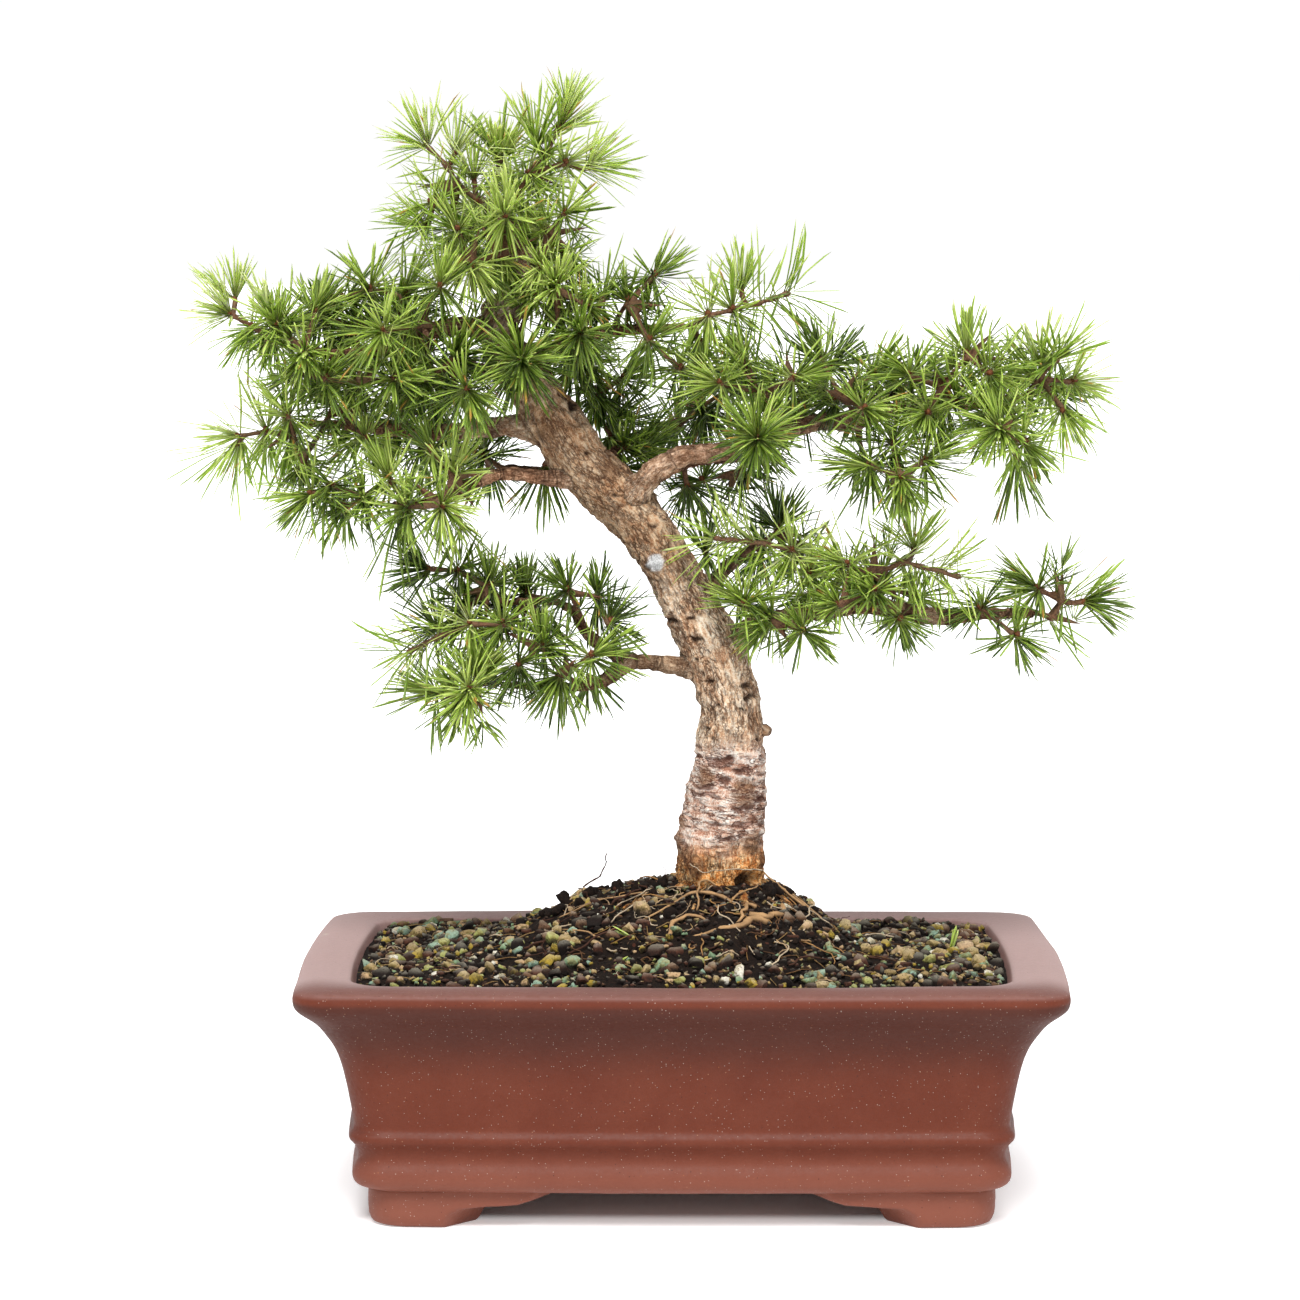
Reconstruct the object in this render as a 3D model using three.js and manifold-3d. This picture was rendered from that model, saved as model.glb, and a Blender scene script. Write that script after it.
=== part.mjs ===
// A larch bonsai in its pot. Millimetres, +Z up, +X to the right of the tree's
// front, +Y to its back. The tree leans over one end of an unglazed stoneware
// pot with a broad lip, two rolled belts and four bracket feet. Gritty soil
// fills the pot and rises in a mound to the trunk's foot. The trunk, its roots
// and the bare branches are one piece of wood. Every leafy twig is a spray: a
// slim twig whose buds have faces raised into needles.

import * as THREE from "three";
import { mergeVertices } from "three/addons/utils/BufferGeometryUtils.js";
import Module from "manifold-3d";

const wasm = await Module();
wasm.setup();

// ---------------------------------------------------------------- dimensions

const GAP = 0.3; // clearance between pieces that touch

// pot
const RIM_HALF_LENGTH = 156.2;
const RIM_HALF_DEPTH = 109.5;
const END_BOW = 3.7; // how far the short sides swell at their middle
const SIDE_BOW = 3;
const RIM_CORNER = 12;
const MOUTH_INSET = 23; // rim's edge to the mouth's edge
const MOUTH_CORNER = 16;
const BODY_BOTTOM = 15.5; // height of the feet
const POT_FLOOR = 25;
const FOOT_THICKNESS = 15;
const FOOT_ROOT = 2; // how far the feet run up into the body
const HOLE_RADIUS = 11;
const HOLE_X = 62;
const HOLE_SIDES = 16;
const CORNER_STEPS = 3;
const SIDE_STEPS = 2;

// Outer wall from the foot up: height, inset from the rim's edge.
const WALL_PROFILE = [
  [0, 31.9],
  [1.4, 29.6],
  [6, 28.3],
  [14.5, 28.6],
  [BODY_BOTTOM, 27.5],
  [17.3, 24.3],
  [21, 22.2],
  [24.5, 22.4],
  [28, 23.8],
  [33, 23.4],
  [36, 21.6],
  [38, 20.9],
  [40, 21.6],
  [42.5, 22.6],
  [55, 20.9],
  [67, 18.5],
  [75, 15.9],
  [81.5, 12.2],
  [86.5, 8.5],
  [91.5, 2.8],
  [94.5, 0.6],
  [100, 0],
  [102.2, 0.9],
  [103, 2.8],
  [101.4, MOUTH_INSET + 1],
];
const FOOT_RINGS = 4; // rings of WALL_PROFILE that belong to the feet

// Cavity from its floor up: height, inset from the rim's edge.
const CAVITY_PROFILE = [
  [POT_FLOOR, 35],
  [29, 32.5],
  [63, 29.5],
  [91, 27],
  [101.5, MOUTH_INSET],
  [104, MOUTH_INSET - 1.5],
];

// One half of the opening between two feet: distance from the foot's outer
// end, height. The bracket has a flat sole and a long shallow lobe.
const FRONT_ARCH = [
  [28, -1],
  [28.5, 0],
  [32, 5.6],
  [36.5, 8.3],
  [49, 9.3],
  [60.5, 10.2],
  [67, 12.3],
  [70, BODY_BOTTOM],
];
const SIDE_ARCH_SHARE = 0.7; // the short sides' brackets, against the long sides'

// drainage screens and staples
const SCREEN_SIZE = 38;
const SCREEN_THICKNESS = 1.4;
const SCREEN_MESHES = 4;
const SCREEN_BAR_WIDTH = 1.8;
const WIRE_RADIUS = 0.75;
const WIRE_SIDES = 6;
const WIRE_BEND = 1.2; // how much a bend cuts its corner at the screen
const STAPLE_BEND = 2.5; // and under the pot
const STAPLE_FOOT = 9; // how far the wire lies under the floor past the hole

// soil
const SOIL_EDGE = 99.5;
const SOIL_CROWN = 4; // how far the level soil is domed
const MOUND_HEIGHT = 27.5;
const MOUND_X = 17;
const MOUND_LEFT = 1.5; // how far the mound spreads each way, in its own radii
const MOUND_RIGHT = 0.95;
const MOUND_DEPTH = 0.95;
const MOUND_TOP = 16;
const MOUND_REACH = 70;
const GRAIN_RELIEF = 1.5;
const SOIL_RINGS = 10;

// Wood, from the foot of each limb to its end: x, y, z, radius.
const TRUNK = [
  [17, 0, 109, 15],
  [17, 0, 125, 19],
  [17, 0, 133, 18.1],
  [16.5, -1, 148, 17.5],
  [18, -1, 166, 17],
  [20.5, -2, 185, 14.6],
  [21, -3, 203, 13.2],
  [17.5, -3, 217, 13.4],
  [13, -3, 231, 13.4],
  [5, -3, 246, 12.3],
  [-3, -3, 261, 11.3],
  [-11, -2, 275, 11.1],
  [-22, -1, 289, 11.5],
  [-34, 0, 301, 12.2],
  [-45, 1, 312, 12.2],
  [-54, 2, 327, 11.6],
  [-64, 3, 342, 10.2],
  [-74, 3, 355, 9],
  [-77, 3, 367, 8],
  [-70, 3, 379, 6.9],
  [-66, 3, 390, 5.8],
  [-69, 3, 401, 4.8],
  [-77, 3, 410, 4],
];
const LIMBS = {
  upper_right: [
    [-24, -3, 291, 6.4],
    [-17, -9, 300, 6.2],
    [-10, -12, 308, 5.6],
    [2, -13, 314, 5.2],
    [16, -13, 315, 5],
    [35, -9, 319, 4.6],
    [56, -1, 326, 4.2],
    [72, 4, 326, 4.2],
    [89, 7, 331, 3.4],
    [105, 5, 334, 2.9],
    [124, 1, 334, 2.4],
    [141, -3, 337, 1.9],
  ],
  upper_right_back: [
    [-14, 0, 293, 4.6],
    [-4, 10, 300, 4],
    [8, 20, 304, 3.2],
    [22, 32, 308, 2.4],
  ],
  lower_right: [
    [16, -3, 229, 5.6],
    [24, -8, 236, 5],
    [33, -12, 242, 4.5],
    [50, -16, 246, 4],
    [70, -18, 250, 3.8],
    [87, -16, 249, 3.7],
    [106, -13, 245, 3.9],
    [127, -9, 246, 2.8],
    [148, -5, 246, 2],
  ],
  middle_left: [
    [-40, -2, 303, 5],
    [-57, -8, 303, 4],
    [-76, -13, 305, 3.4],
    [-92, -15, 299, 3],
    [-106, -15, 293, 2.6],
    [-120, -13, 292, 2],
  ],
  high_left: [
    [-54, 2, 321, 6],
    [-68, 8, 324, 5],
    [-86, 13, 323, 4.2],
    [-103, 15, 321, 3.6],
    [-120, 14, 322, 3],
    [-138, 11, 324, 2.4],
    [-158, 8, 325, 1.8],
  ],
  top_left: [
    [-76, 2, 362, 5],
    [-88, -2, 366, 4.2],
    [-98, -5, 366, 3.8],
    [-113, -8, 362, 3.4],
    [-129, -10, 356, 3],
    [-146, -10, 355, 2.4],
    [-162, -8, 358, 1.8],
  ],
  lower_left: [
    [10, -4, 222, 4.4],
    [-3, -8, 224, 3.8],
    [-13, -12, 226, 3.5],
    [-23, -15, 228, 3.4],
    [-33, -15, 233, 3],
    [-41, -14, 240, 2.5],
    [-46, -13, 248, 2.2],
    [-57, -12, 252, 1.9],
    [-72, -12, 251, 1.5],
  ],
  lower_left_under: [
    [-22, -15, 227, 3],
    [-33, -17, 219, 2.7],
    [-46, -17, 216, 2.4],
    [-60, -16, 216, 2],
    [-76, -15, 217, 1.6],
  ],
  top_right: [
    [-68, 3, 344, 4.4],
    [-56, 8, 355, 3.6],
    [-45, 10, 361, 3.2],
    [-30, 8, 364, 2.8],
    [-14, 4, 365, 2.4],
    [2, 1, 366, 2],
  ],
  back_low: [
    [6, 0, 243, 4.6],
    [11, 18, 253, 3.8],
    [20, 38, 263, 3],
    [34, 58, 271, 2],
  ],
  back_left_low: [
    [-20, 0, 287, 4.4],
    [-34, 20, 297, 3.6],
    [-54, 38, 302, 2.8],
    [-76, 52, 304, 2],
  ],
  back_middle: [
    [-36, 2, 303, 4.8],
    [-28, 22, 313, 4],
    [-14, 44, 321, 3],
    [2, 62, 325, 2],
  ],
  back_left: [
    [-60, 4, 335, 4.6],
    [-72, 26, 343, 3.8],
    [-88, 48, 347, 3],
    [-106, 64, 349, 2],
  ],
  back_top: [
    [-76, 4, 365, 4.2],
    [-82, 24, 373, 3.4],
    [-76, 42, 379, 2.6],
    [-78, 56, 383, 1.8],
  ],
};
const TRUNK_SIDES = 10;
const LIMB_SIDES = 5;

// Surface roots: direction in degrees from +X, reach from the trunk's middle,
// radius at the trunk.
const ROOTS = [
  [-150, 60, 3.2],
  [-112, 48, 2.8],
  [-72, 46, 3.6],
  [-28, 48, 3.2],
  [30, 42, 2.8],
  [92, 48, 3],
  [158, 56, 3],
];
const ROOT_START = 12;
const ROOT_STEPS = 4;
const ROOT_SIDES = 5;
const ROOT_WANDER = 5;
const ROOT_TAPER = 0.6;
const ROOT_LIFT = 0.35; // how far a root stands out of the soil, in its own radii
const ROOT_DIP = 3; // how far its end sinks back

// twigs, buds and needles
const SEED = 20417;
const TWIG_SIDES = 5;
const TWIG_RADIUS = 1.3;
const TWIG_NECK = 1; // radius either side of a bud
const COLLAR = 3; // how far a twig leaves its limb squarely
const BUD_RADIUS = 2;
const BUD_HALF_LENGTH = 2.5;
const SHARPEST_TURN = 0.25; // least cosine between two stretches of one twig
const WHORL_RADIUS = 1.7;
const WHORL_SPACING = 8;
const NEEDLE_LENGTH = 27;
const NEEDLE_LENGTH_SPREAD = 5;
const NEEDLE_ROOT_RADIUS = 1.3;
const NEEDLE_TIP_RADIUS = 0.1;
const NEEDLE_CLEARANCE = 0.55;
const NEEDLE_DROOP = 0.08;
const LEAN = { bud: 0.5, whorl: 1.2 }; // most that needles lean along their twig
const END_LEAN = 1.7; // and on the last bud of a twig
const AIM_TRIES = 9;
const AIM_STEP = 0.07;
const SHORTENING = 0.06; // for each try
const STEEPEST = 0.5; // least cosine between a needle and its face's normal
const TWIG_SHADOW = 0.75; // no needle grows this near a twig's way out of a bud
const OWN_START = 0.25; // where a needle starts to keep clear of its own bud's
const OWN_CLEARANCE = 0.15;

// Leafy twigs: limb they grow on, place along it from 0 to 1, places of the
// buds in the order they grew, and the tip of a long shoot where there is one.
const SPRAYS = {
  // crown
  crown_left: {
    limb: "trunk",
    at: 1,
    buds: [[-85, -2, 418], [-94, -2, 426], [-104, -7, 418], [-98, -3, 433]],
    shoot: [-106, -3, 441],
  },
  crown_right: {
    limb: "trunk",
    at: 0.97,
    buds: [[-70, -3, 419], [-64, -6, 430], [-49, -9, 434], [-57, 2, 438]],
    shoot: [-52, 2, 448],
  },
  crown_front: {
    limb: "trunk",
    at: 0.93,
    buds: [[-75, -14, 396], [-88, -22, 393], [-73, -26, 412], [-93, -13, 406]],
  },
  crown_right_side: {
    limb: "trunk",
    at: 0.9,
    buds: [[-56, -10, 405], [-49, -16, 413], [-58, -22, 391], [-50, -3, 397]],
  },
  crown_back: {
    limb: "trunk",
    at: 0.95,
    buds: [[-79, 16, 417], [-90, 27, 407], [-68, 26, 425], [-77, 10, 433]],
  },
  crown_back_right: {
    limb: "trunk",
    at: 0.88,
    buds: [[-62, 20, 397], [-60, 32, 389], [-56, 15, 379], [-66, 34, 407]],
  },
  crown_low_right: {
    limb: "trunk",
    at: 0.84,
    buds: [[-62, -13, 379], [-52, -22, 383], [-40, -12, 375]],
  },
  // high on the left
  top_left_front: {
    limb: "top_left",
    at: 0.4,
    buds: [[-111, -22, 367], [-123, -34, 365], [-100, -26, 383]],
  },
  top_left_above: {
    limb: "top_left",
    at: 0.5,
    buds: [[-117, -4, 379], [-130, -10, 382], [-142, -4, 378]],
  },
  top_left_below: {
    limb: "top_left",
    at: 0.62,
    buds: [[-133, -16, 343], [-148, -24, 345], [-119, -25, 345], [-160, -14, 347]],
  },
  top_left_end: {
    limb: "top_left",
    at: 1,
    buds: [[-171, -11, 361], [-171, -18, 371], [-179, -7, 366]],
    shoot: [-188, -8, 371],
  },
  top_left_big: {
    limb: "top_left",
    at: 0.85,
    buds: [[-156, -26, 356], [-153, -16, 372], [-168, -22, 367]],
  },
  top_left_back: {
    limb: "top_left",
    at: 0.7,
    buds: [[-138, 9, 366], [-153, 19, 370], [-126, 23, 374], [-168, 12, 365]],
  },
  back_left_end: {
    limb: "back_left",
    at: 1,
    buds: [[-115, 70, 353], [-127, 61, 359], [-105, 78, 341], [-118, 79, 366]],
  },
  // middle of the tree
  centre_big: {
    limb: "trunk",
    at: 0.76,
    buds: [[-67, -20, 353], [-66, -37, 353]],
  },
  centre_right: {
    limb: "top_right",
    at: 0.3,
    buds: [[-46, -12, 363], [-42, -28, 364], [-33, -6, 377]],
  },
  centre_left: {
    limb: "top_left",
    at: 0.22,
    buds: [[-95, -19, 353], [-89, -32, 341], [-107, -13, 344]],
  },
  // top right
  top_right_middle: {
    limb: "top_right",
    at: 0.62,
    buds: [[-23, -6, 376], [-12, 2, 387], [-14, -17, 361], [-1, -14, 349]],
  },
  top_right_end: {
    limb: "top_right",
    at: 1,
    buds: [[11, -5, 371], [21, -1, 373], [32, -1, 376]],
    shoot: [44, -2, 380],
  },
  centre_back: {
    limb: "top_right",
    at: 0.36,
    buds: [[-46, 24, 350], [-36, 28, 337], [-26, 36, 343], [-42, 38, 352]],
  },
  back_top_end: {
    limb: "back_top",
    at: 1,
    buds: [[-80, 66, 389], [-92, 62, 397], [-73, 74, 399], [-84, 78, 407]],
  },
  // right
  right_big: {
    limb: "upper_right",
    at: 0.4,
    buds: [[30, -27, 323], [31, -44, 321]],
  },
  right_above: {
    limb: "upper_right",
    at: 0.44,
    buds: [[33, -15, 339], [46, -19, 345], [26, -6, 352], [16, -20, 343]],
  },
  right_middle: {
    limb: "upper_right",
    at: 0.6,
    buds: [[66, -10, 337], [80, -3, 346], [59, -4, 351], [75, -23, 333]],
  },
  right_hanging: {
    limb: "upper_right",
    at: 0.68,
    buds: [[88, -14, 318], [90, -33, 305], [78, -23, 309], [100, -25, 311]],
  },
  right_crest: {
    limb: "upper_right",
    at: 0.83,
    buds: [[108, -9, 341], [119, -7, 354], [127, -20, 347], [102, -23, 331], [95, -14, 346]],
  },
  right_big_outer: {
    limb: "upper_right",
    at: 0.93,
    buds: [[130, -20, 329], [131, -38, 325], [141, -30, 319]],
  },
  right_end: {
    limb: "upper_right",
    at: 1,
    buds: [[149, -8, 345], [158, -15, 333], [163, -3, 343], [156, -14, 353]],
  },
  right_end_back: {
    limb: "upper_right",
    at: 0.95,
    buds: [[140, 12, 345], [155, 20, 340], [138, 28, 333]],
  },
  right_back: {
    limb: "upper_right",
    at: 0.72,
    buds: [[88, 26, 337], [102, 34, 344], [77, 40, 334]],
  },
  right_back_inner: {
    limb: "upper_right",
    at: 0.5,
    buds: [[51, 15, 331], [44, 29, 340], [63, 30, 348]],
  },
  right_inner_end: {
    limb: "upper_right_back",
    at: 1,
    buds: [[30, 42, 313], [25, 54, 303], [9, 45, 299], [40, 54, 322]],
  },
  back_middle_end: {
    limb: "back_middle",
    at: 1,
    buds: [[9, 69, 330], [20, 61, 338], [-2, 78, 321], [8, 79, 346]],
  },
  // lower right
  low_right_shoot: {
    limb: "lower_right",
    at: 0.36,
    buds: [[53, -20, 264], [46, -24, 274], [34, -26, 277]],
    shoot: [14, -27, 279],
  },
  low_right_far: {
    limb: "lower_right",
    at: 0.56,
    buds: [[80, -20, 263], [69, -25, 268], [92, -22, 269]],
    shoot: [115, -24, 263],
  },
  low_right_inner: {
    limb: "lower_right",
    at: 0.26,
    buds: [[38, -25, 245], [26, -27, 252], [50, -30, 241]],
  },
  low_right_under: {
    limb: "lower_right",
    at: 0.48,
    buds: [[65, -31, 252], [80, -30, 258], [90, -27, 246]],
  },
  low_right_outer: {
    limb: "lower_right",
    at: 0.88,
    buds: [[125, -18, 249], [139, -18, 238]],
  },
  low_right_end: {
    limb: "lower_right",
    at: 1,
    buds: [[155, -6, 244], [160, -5, 251], [150, -2, 256]],
  },
  low_right_back: {
    limb: "lower_right",
    at: 0.6,
    buds: [[84, -2, 258], [70, 9, 261], [98, 8, 252], [55, 4, 253]],
  },
  back_low_end: {
    limb: "back_low",
    at: 1,
    buds: [[42, 66, 276], [54, 60, 268], [34, 76, 266]],
  },
  // left
  left_end: {
    limb: "high_left",
    at: 1,
    buds: [[-165, 3, 320], [-175, 5, 322]],
    shoot: [-186, 4, 320],
  },
  left_above: {
    limb: "high_left",
    at: 0.82,
    buds: [[-146, -3, 332], [-132, -10, 320], [-159, -11, 309], [-164, -14, 329]],
  },
  left_front: {
    limb: "middle_left",
    at: 0.55,
    buds: [[-95, -26, 305], [-104, -22, 315], [-100, -34, 293], [-114, -29, 292], [-121, -25, 303]],
  },
  left_low_end: {
    limb: "middle_left",
    at: 1,
    buds: [[-133, -18, 295], [-146, -18, 301], [-141, -8, 291], [-154, -22, 297]],
  },
  left_back: {
    limb: "high_left",
    at: 0.6,
    buds: [[-120, 29, 325], [-136, 36, 321], [-112, 42, 314], [-105, 33, 334]],
  },
  back_left_low_end: {
    limb: "back_left_low",
    at: 1,
    buds: [[-86, 58, 309], [-98, 60, 314], [-84, 70, 303]],
  },
  // lower left
  low_left_bright: {
    limb: "lower_left_under",
    at: 1,
    buds: [[-86, -22, 219], [-88, -37, 217], [-93, -14, 210], [-103, -10, 213]],
  },
  low_left_end: {
    limb: "lower_left",
    at: 1,
    buds: [[-81, -14, 258], [-90, -9, 248], [-94, -9, 264]],
    shoot: [-105, -10, 265],
  },
  low_left_shoot: {
    limb: "lower_left",
    at: 0.94,
    buds: [[-74, -25, 243], [-88, -24, 243], [-102, -19, 237]],
    shoot: [-114, -18, 231],
  },
  low_left_middle: {
    limb: "lower_left",
    at: 0.64,
    buds: [[-47, -23, 257], [-35, -20, 254], [-31, -28, 244]],
  },
  low_left_under: {
    limb: "lower_left_under",
    at: 0.45,
    buds: [[-50, -27, 222], [-58, -27, 234], [-38, -28, 230], [-68, -31, 227]],
  },
  low_left_back: {
    limb: "lower_left",
    at: 0.85,
    buds: [[-66, 1, 253], [-78, 10, 247], [-60, 12, 243], [-84, 14, 234]],
  },
};

// ---------------------------------------------------------------- helpers

// Small repeatable random numbers, from 0 to 1.
function randomSource(seed) {
  let state = seed >>> 0;
  return () => {
    state = (state + 0x6d2b79f5) >>> 0;
    let mixed = Math.imul(state ^ (state >>> 15), state | 1);
    mixed ^= mixed + Math.imul(mixed ^ (mixed >>> 7), mixed | 61);
    return ((mixed ^ (mixed >>> 14)) >>> 0) / 4294967296;
  };
}

const vec = (x, y, z) => new THREE.Vector3(x, y, z);

function solidOf(geometry) {
  const bare = geometry.clone();
  bare.deleteAttribute("normal");
  bare.deleteAttribute("uv");
  const merged = mergeVertices(bare, 1e-4);
  const shell = new wasm.Mesh({
    numProp: 3,
    vertProperties: new Float32Array(merged.attributes.position.array),
    triVerts: new Uint32Array(merged.index.array),
  });
  return new wasm.Manifold(shell);
}

function geometryOf(solid) {
  const shell = solid.getMesh();
  const geometry = new THREE.BufferGeometry();
  geometry.setAttribute("position", new THREE.BufferAttribute(shell.vertProperties, 3));
  geometry.setIndex(new THREE.BufferAttribute(shell.triVerts, 1));
  geometry.computeVertexNormals();
  return geometry;
}

function joined(solids) {
  return solids.reduce((whole, solid) => whole.add(solid));
}

// A closed skin over rings of points that run anticlockwise seen from the last
// ring. Both end rings are convex.
function loft(rings) {
  const count = rings[0].length;
  const corners = rings.flat().flatMap((point) => [point.x, point.y, point.z]);
  const faces = [];
  for (let ring = 0; ring < rings.length - 1; ring += 1) {
    for (let i = 0; i < count; i += 1) {
      const next = (i + 1) % count;
      const low = ring * count;
      const high = low + count;
      faces.push(low + i, low + next, high + next);
      faces.push(low + i, high + next, high + i);
    }
  }
  const last = (rings.length - 1) * count;
  for (let i = 1; i < count - 1; i += 1) {
    faces.push(0, i + 1, i);
    faces.push(last, last + i, last + i + 1);
  }
  const geometry = new THREE.BufferGeometry();
  geometry.setAttribute("position", new THREE.Float32BufferAttribute(corners, 3));
  geometry.setIndex(faces);
  return geometry;
}

// A closed tube with flat ends along rows of x, y, z, radius.
function tube(rows, sides, grow = 0) {
  const places = rows.map(([x, y, z]) => vec(x, y, z));
  const across = vec(0.31, 0.83, 0.47);
  const rings = rows.map((row, i) => {
    const before = places[Math.max(i - 1, 0)];
    const after = places[Math.min(i + 1, rows.length - 1)];
    const along = after.clone().sub(before).normalize();
    across.projectOnPlane(along).normalize();
    const other = along.clone().cross(across);
    return Array.from({ length: sides }, (_, k) => {
      const angle = (2 * Math.PI * k) / sides;
      return places[i]
        .clone()
        .addScaledVector(across, Math.cos(angle) * (row[3] + grow))
        .addScaledVector(other, Math.sin(angle) * (row[3] + grow));
    });
  });
  return loft(rings);
}

// Place, direction and radius at a share of the way along rows of x, y, z, radius.
function pointAlong(rows, share) {
  const lengths = rows.slice(1).map((row, i) => Math.hypot(
    row[0] - rows[i][0],
    row[1] - rows[i][1],
    row[2] - rows[i][2],
  ));
  let left = share * lengths.reduce((sum, length) => sum + length, 0);
  let i = 0;
  while (i < lengths.length - 1 && left > lengths[i]) {
    left -= lengths[i];
    i += 1;
  }
  const part = Math.min(left / lengths[i], 1);
  const from = vec(...rows[i].slice(0, 3));
  const to = vec(...rows[i + 1].slice(0, 3));
  return {
    place: from.clone().lerp(to, part),
    along: to.clone().sub(from).normalize(),
    radius: THREE.MathUtils.lerp(rows[i][3], rows[i + 1][3], part),
  };
}

// ---------------------------------------------------------------- pot

// The pot's outline at one height: a rounded rectangle with swelling sides.
function potOutline(inset, corner, z) {
  const halfLength = RIM_HALF_LENGTH - inset;
  const halfDepth = RIM_HALF_DEPTH - inset;
  const points = [];
  const centres = [[1, 1, 0], [-1, 1, 90], [-1, -1, 180], [1, -1, 270]];
  for (const [signX, signY, turn] of centres) {
    for (let step = 0; step <= CORNER_STEPS; step += 1) {
      const angle = THREE.MathUtils.degToRad(turn + (90 * step) / CORNER_STEPS);
      const x = signX * (halfLength - corner) + corner * Math.cos(angle);
      const y = signY * (halfDepth - corner) + corner * Math.sin(angle);
      points.push([x, y]);
    }
    const alongX = turn === 0 || turn === 180;
    for (let step = 1; step < SIDE_STEPS; step += 1) {
      const share = 1 - (2 * step) / SIDE_STEPS;
      const x = alongX ? signX * share * (halfLength - corner) : signX * halfLength;
      const y = alongX ? signY * halfDepth : signY * share * (halfDepth - corner);
      points.push([x, y]);
    }
  }
  return points.map(([x, y]) => {
    const swellX = END_BOW * (x / halfLength) * (1 - (y / halfDepth) ** 2);
    const swellY = SIDE_BOW * (y / halfDepth) * (1 - (x / halfLength) ** 2);
    return vec(x + swellX, y + swellY, z);
  });
}

// A bar across the pot whose section is the opening between two feet.
function archBar(share, halfSpan, length) {
  const half = FRONT_ARCH.map(([out, z]) => [halfSpan - out * share, z]);
  const outline = new THREE.Shape();
  outline.moveTo(...half[0]);
  for (const point of half.slice(1)) {
    outline.lineTo(...point);
  }
  for (const [x, z] of half.slice().reverse()) {
    outline.lineTo(-x, z);
  }
  outline.closePath();
  const bar = new THREE.ExtrudeGeometry(outline, { depth: length, bevelEnabled: false });
  bar.translate(0, 0, -length / 2);
  bar.rotateX(Math.PI / 2);
  return bar;
}

function buildPot() {
  const wall = WALL_PROFILE.slice(FOOT_RINGS);
  const body = solidOf(loft(wall.map(([z, inset]) => potOutline(inset, RIM_CORNER, z))));

  const footRings = WALL_PROFILE.slice(0, FOOT_RINGS);
  footRings.push([BODY_BOTTOM + FOOT_ROOT, footRings[FOOT_RINGS - 1][1]]);
  const feet = solidOf(loft(footRings.map(([z, inset]) => potOutline(inset, RIM_CORNER, z))));
  const footInset = WALL_PROFILE[0][1] + FOOT_THICKNESS;
  const between = [-1, BODY_BOTTOM].map((z) => potOutline(footInset, RIM_CORNER, z));
  const footLength = RIM_HALF_LENGTH - WALL_PROFILE[2][1];
  const footDepth = RIM_HALF_DEPTH - WALL_PROFILE[2][1];
  const front = archBar(1, footLength, 4 * RIM_HALF_DEPTH);
  const side = archBar(SIDE_ARCH_SHARE, footDepth, 4 * RIM_HALF_LENGTH);
  side.rotateZ(Math.PI / 2);
  const brackets = feet
    .subtract(solidOf(loft(between)))
    .subtract(solidOf(front))
    .subtract(solidOf(side));

  const cavity = loft(CAVITY_PROFILE.map(([z, inset]) => potOutline(inset, MOUTH_CORNER, z)));
  let pot = body.add(brackets).subtract(solidOf(cavity));
  for (const x of [-HOLE_X, HOLE_X]) {
    const drain = new THREE.CylinderGeometry(HOLE_RADIUS, HOLE_RADIUS, POT_FLOOR, HOLE_SIDES);
    drain.rotateX(Math.PI / 2);
    drain.translate(x, 0, (BODY_BOTTOM + POT_FLOOR) / 2);
    pot = pot.subtract(solidOf(drain));
  }
  return pot;
}

// ---------------------------------------------------------------- drainage

const SCREEN_Z = POT_FLOOR + GAP;

// A flat square with rows of square meshes.
function buildScreen(x) {
  const pitch = SCREEN_SIZE / SCREEN_MESHES;
  const mesh = pitch - SCREEN_BAR_WIDTH;
  const plate = new THREE.BoxGeometry(SCREEN_SIZE, SCREEN_SIZE, SCREEN_THICKNESS);
  plate.translate(x, 0, SCREEN_Z + SCREEN_THICKNESS / 2);
  const holes = [];
  for (let i = 0; i < SCREEN_MESHES; i += 1) {
    for (let j = 0; j < SCREEN_MESHES; j += 1) {
      const hole = new THREE.BoxGeometry(mesh, mesh, 3 * SCREEN_THICKNESS);
      const aside = (i + 0.5 - SCREEN_MESHES / 2) * pitch;
      const ahead = (j + 0.5 - SCREEN_MESHES / 2) * pitch;
      hole.translate(x + aside, ahead, SCREEN_Z);
      holes.push(solidOf(hole));
    }
  }
  return solidOf(plate).subtract(joined(holes));
}

// A wire that lies corner to corner over the screen's middle crossing, goes
// down through two meshes and the drainage hole, and out flat under the floor.
function buildStaple(x) {
  const top = SCREEN_Z + SCREEN_THICKNESS + GAP + WIRE_RADIUS;
  const under = BODY_BOTTOM - GAP - WIRE_RADIUS;
  const leg = SCREEN_SIZE / SCREEN_MESHES * Math.SQRT1_2;
  const half = [
    [leg - WIRE_BEND, top],
    [leg, top - WIRE_BEND],
    [leg, under + STAPLE_BEND],
    [leg + STAPLE_BEND, under],
    [HOLE_RADIUS + STAPLE_FOOT, under],
  ];
  const arm = (way) => half.map(([out, z]) => {
    const aside = way * out * Math.SQRT1_2;
    return [x + aside, aside, z, WIRE_RADIUS];
  });
  return solidOf(tube([...arm(-1).reverse(), ...arm(1)], WIRE_SIDES));
}

// ---------------------------------------------------------------- soil

function smoothStep(share) {
  const t = THREE.MathUtils.clamp(share, 0, 1);
  return t * t * (3 - 2 * t);
}

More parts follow.
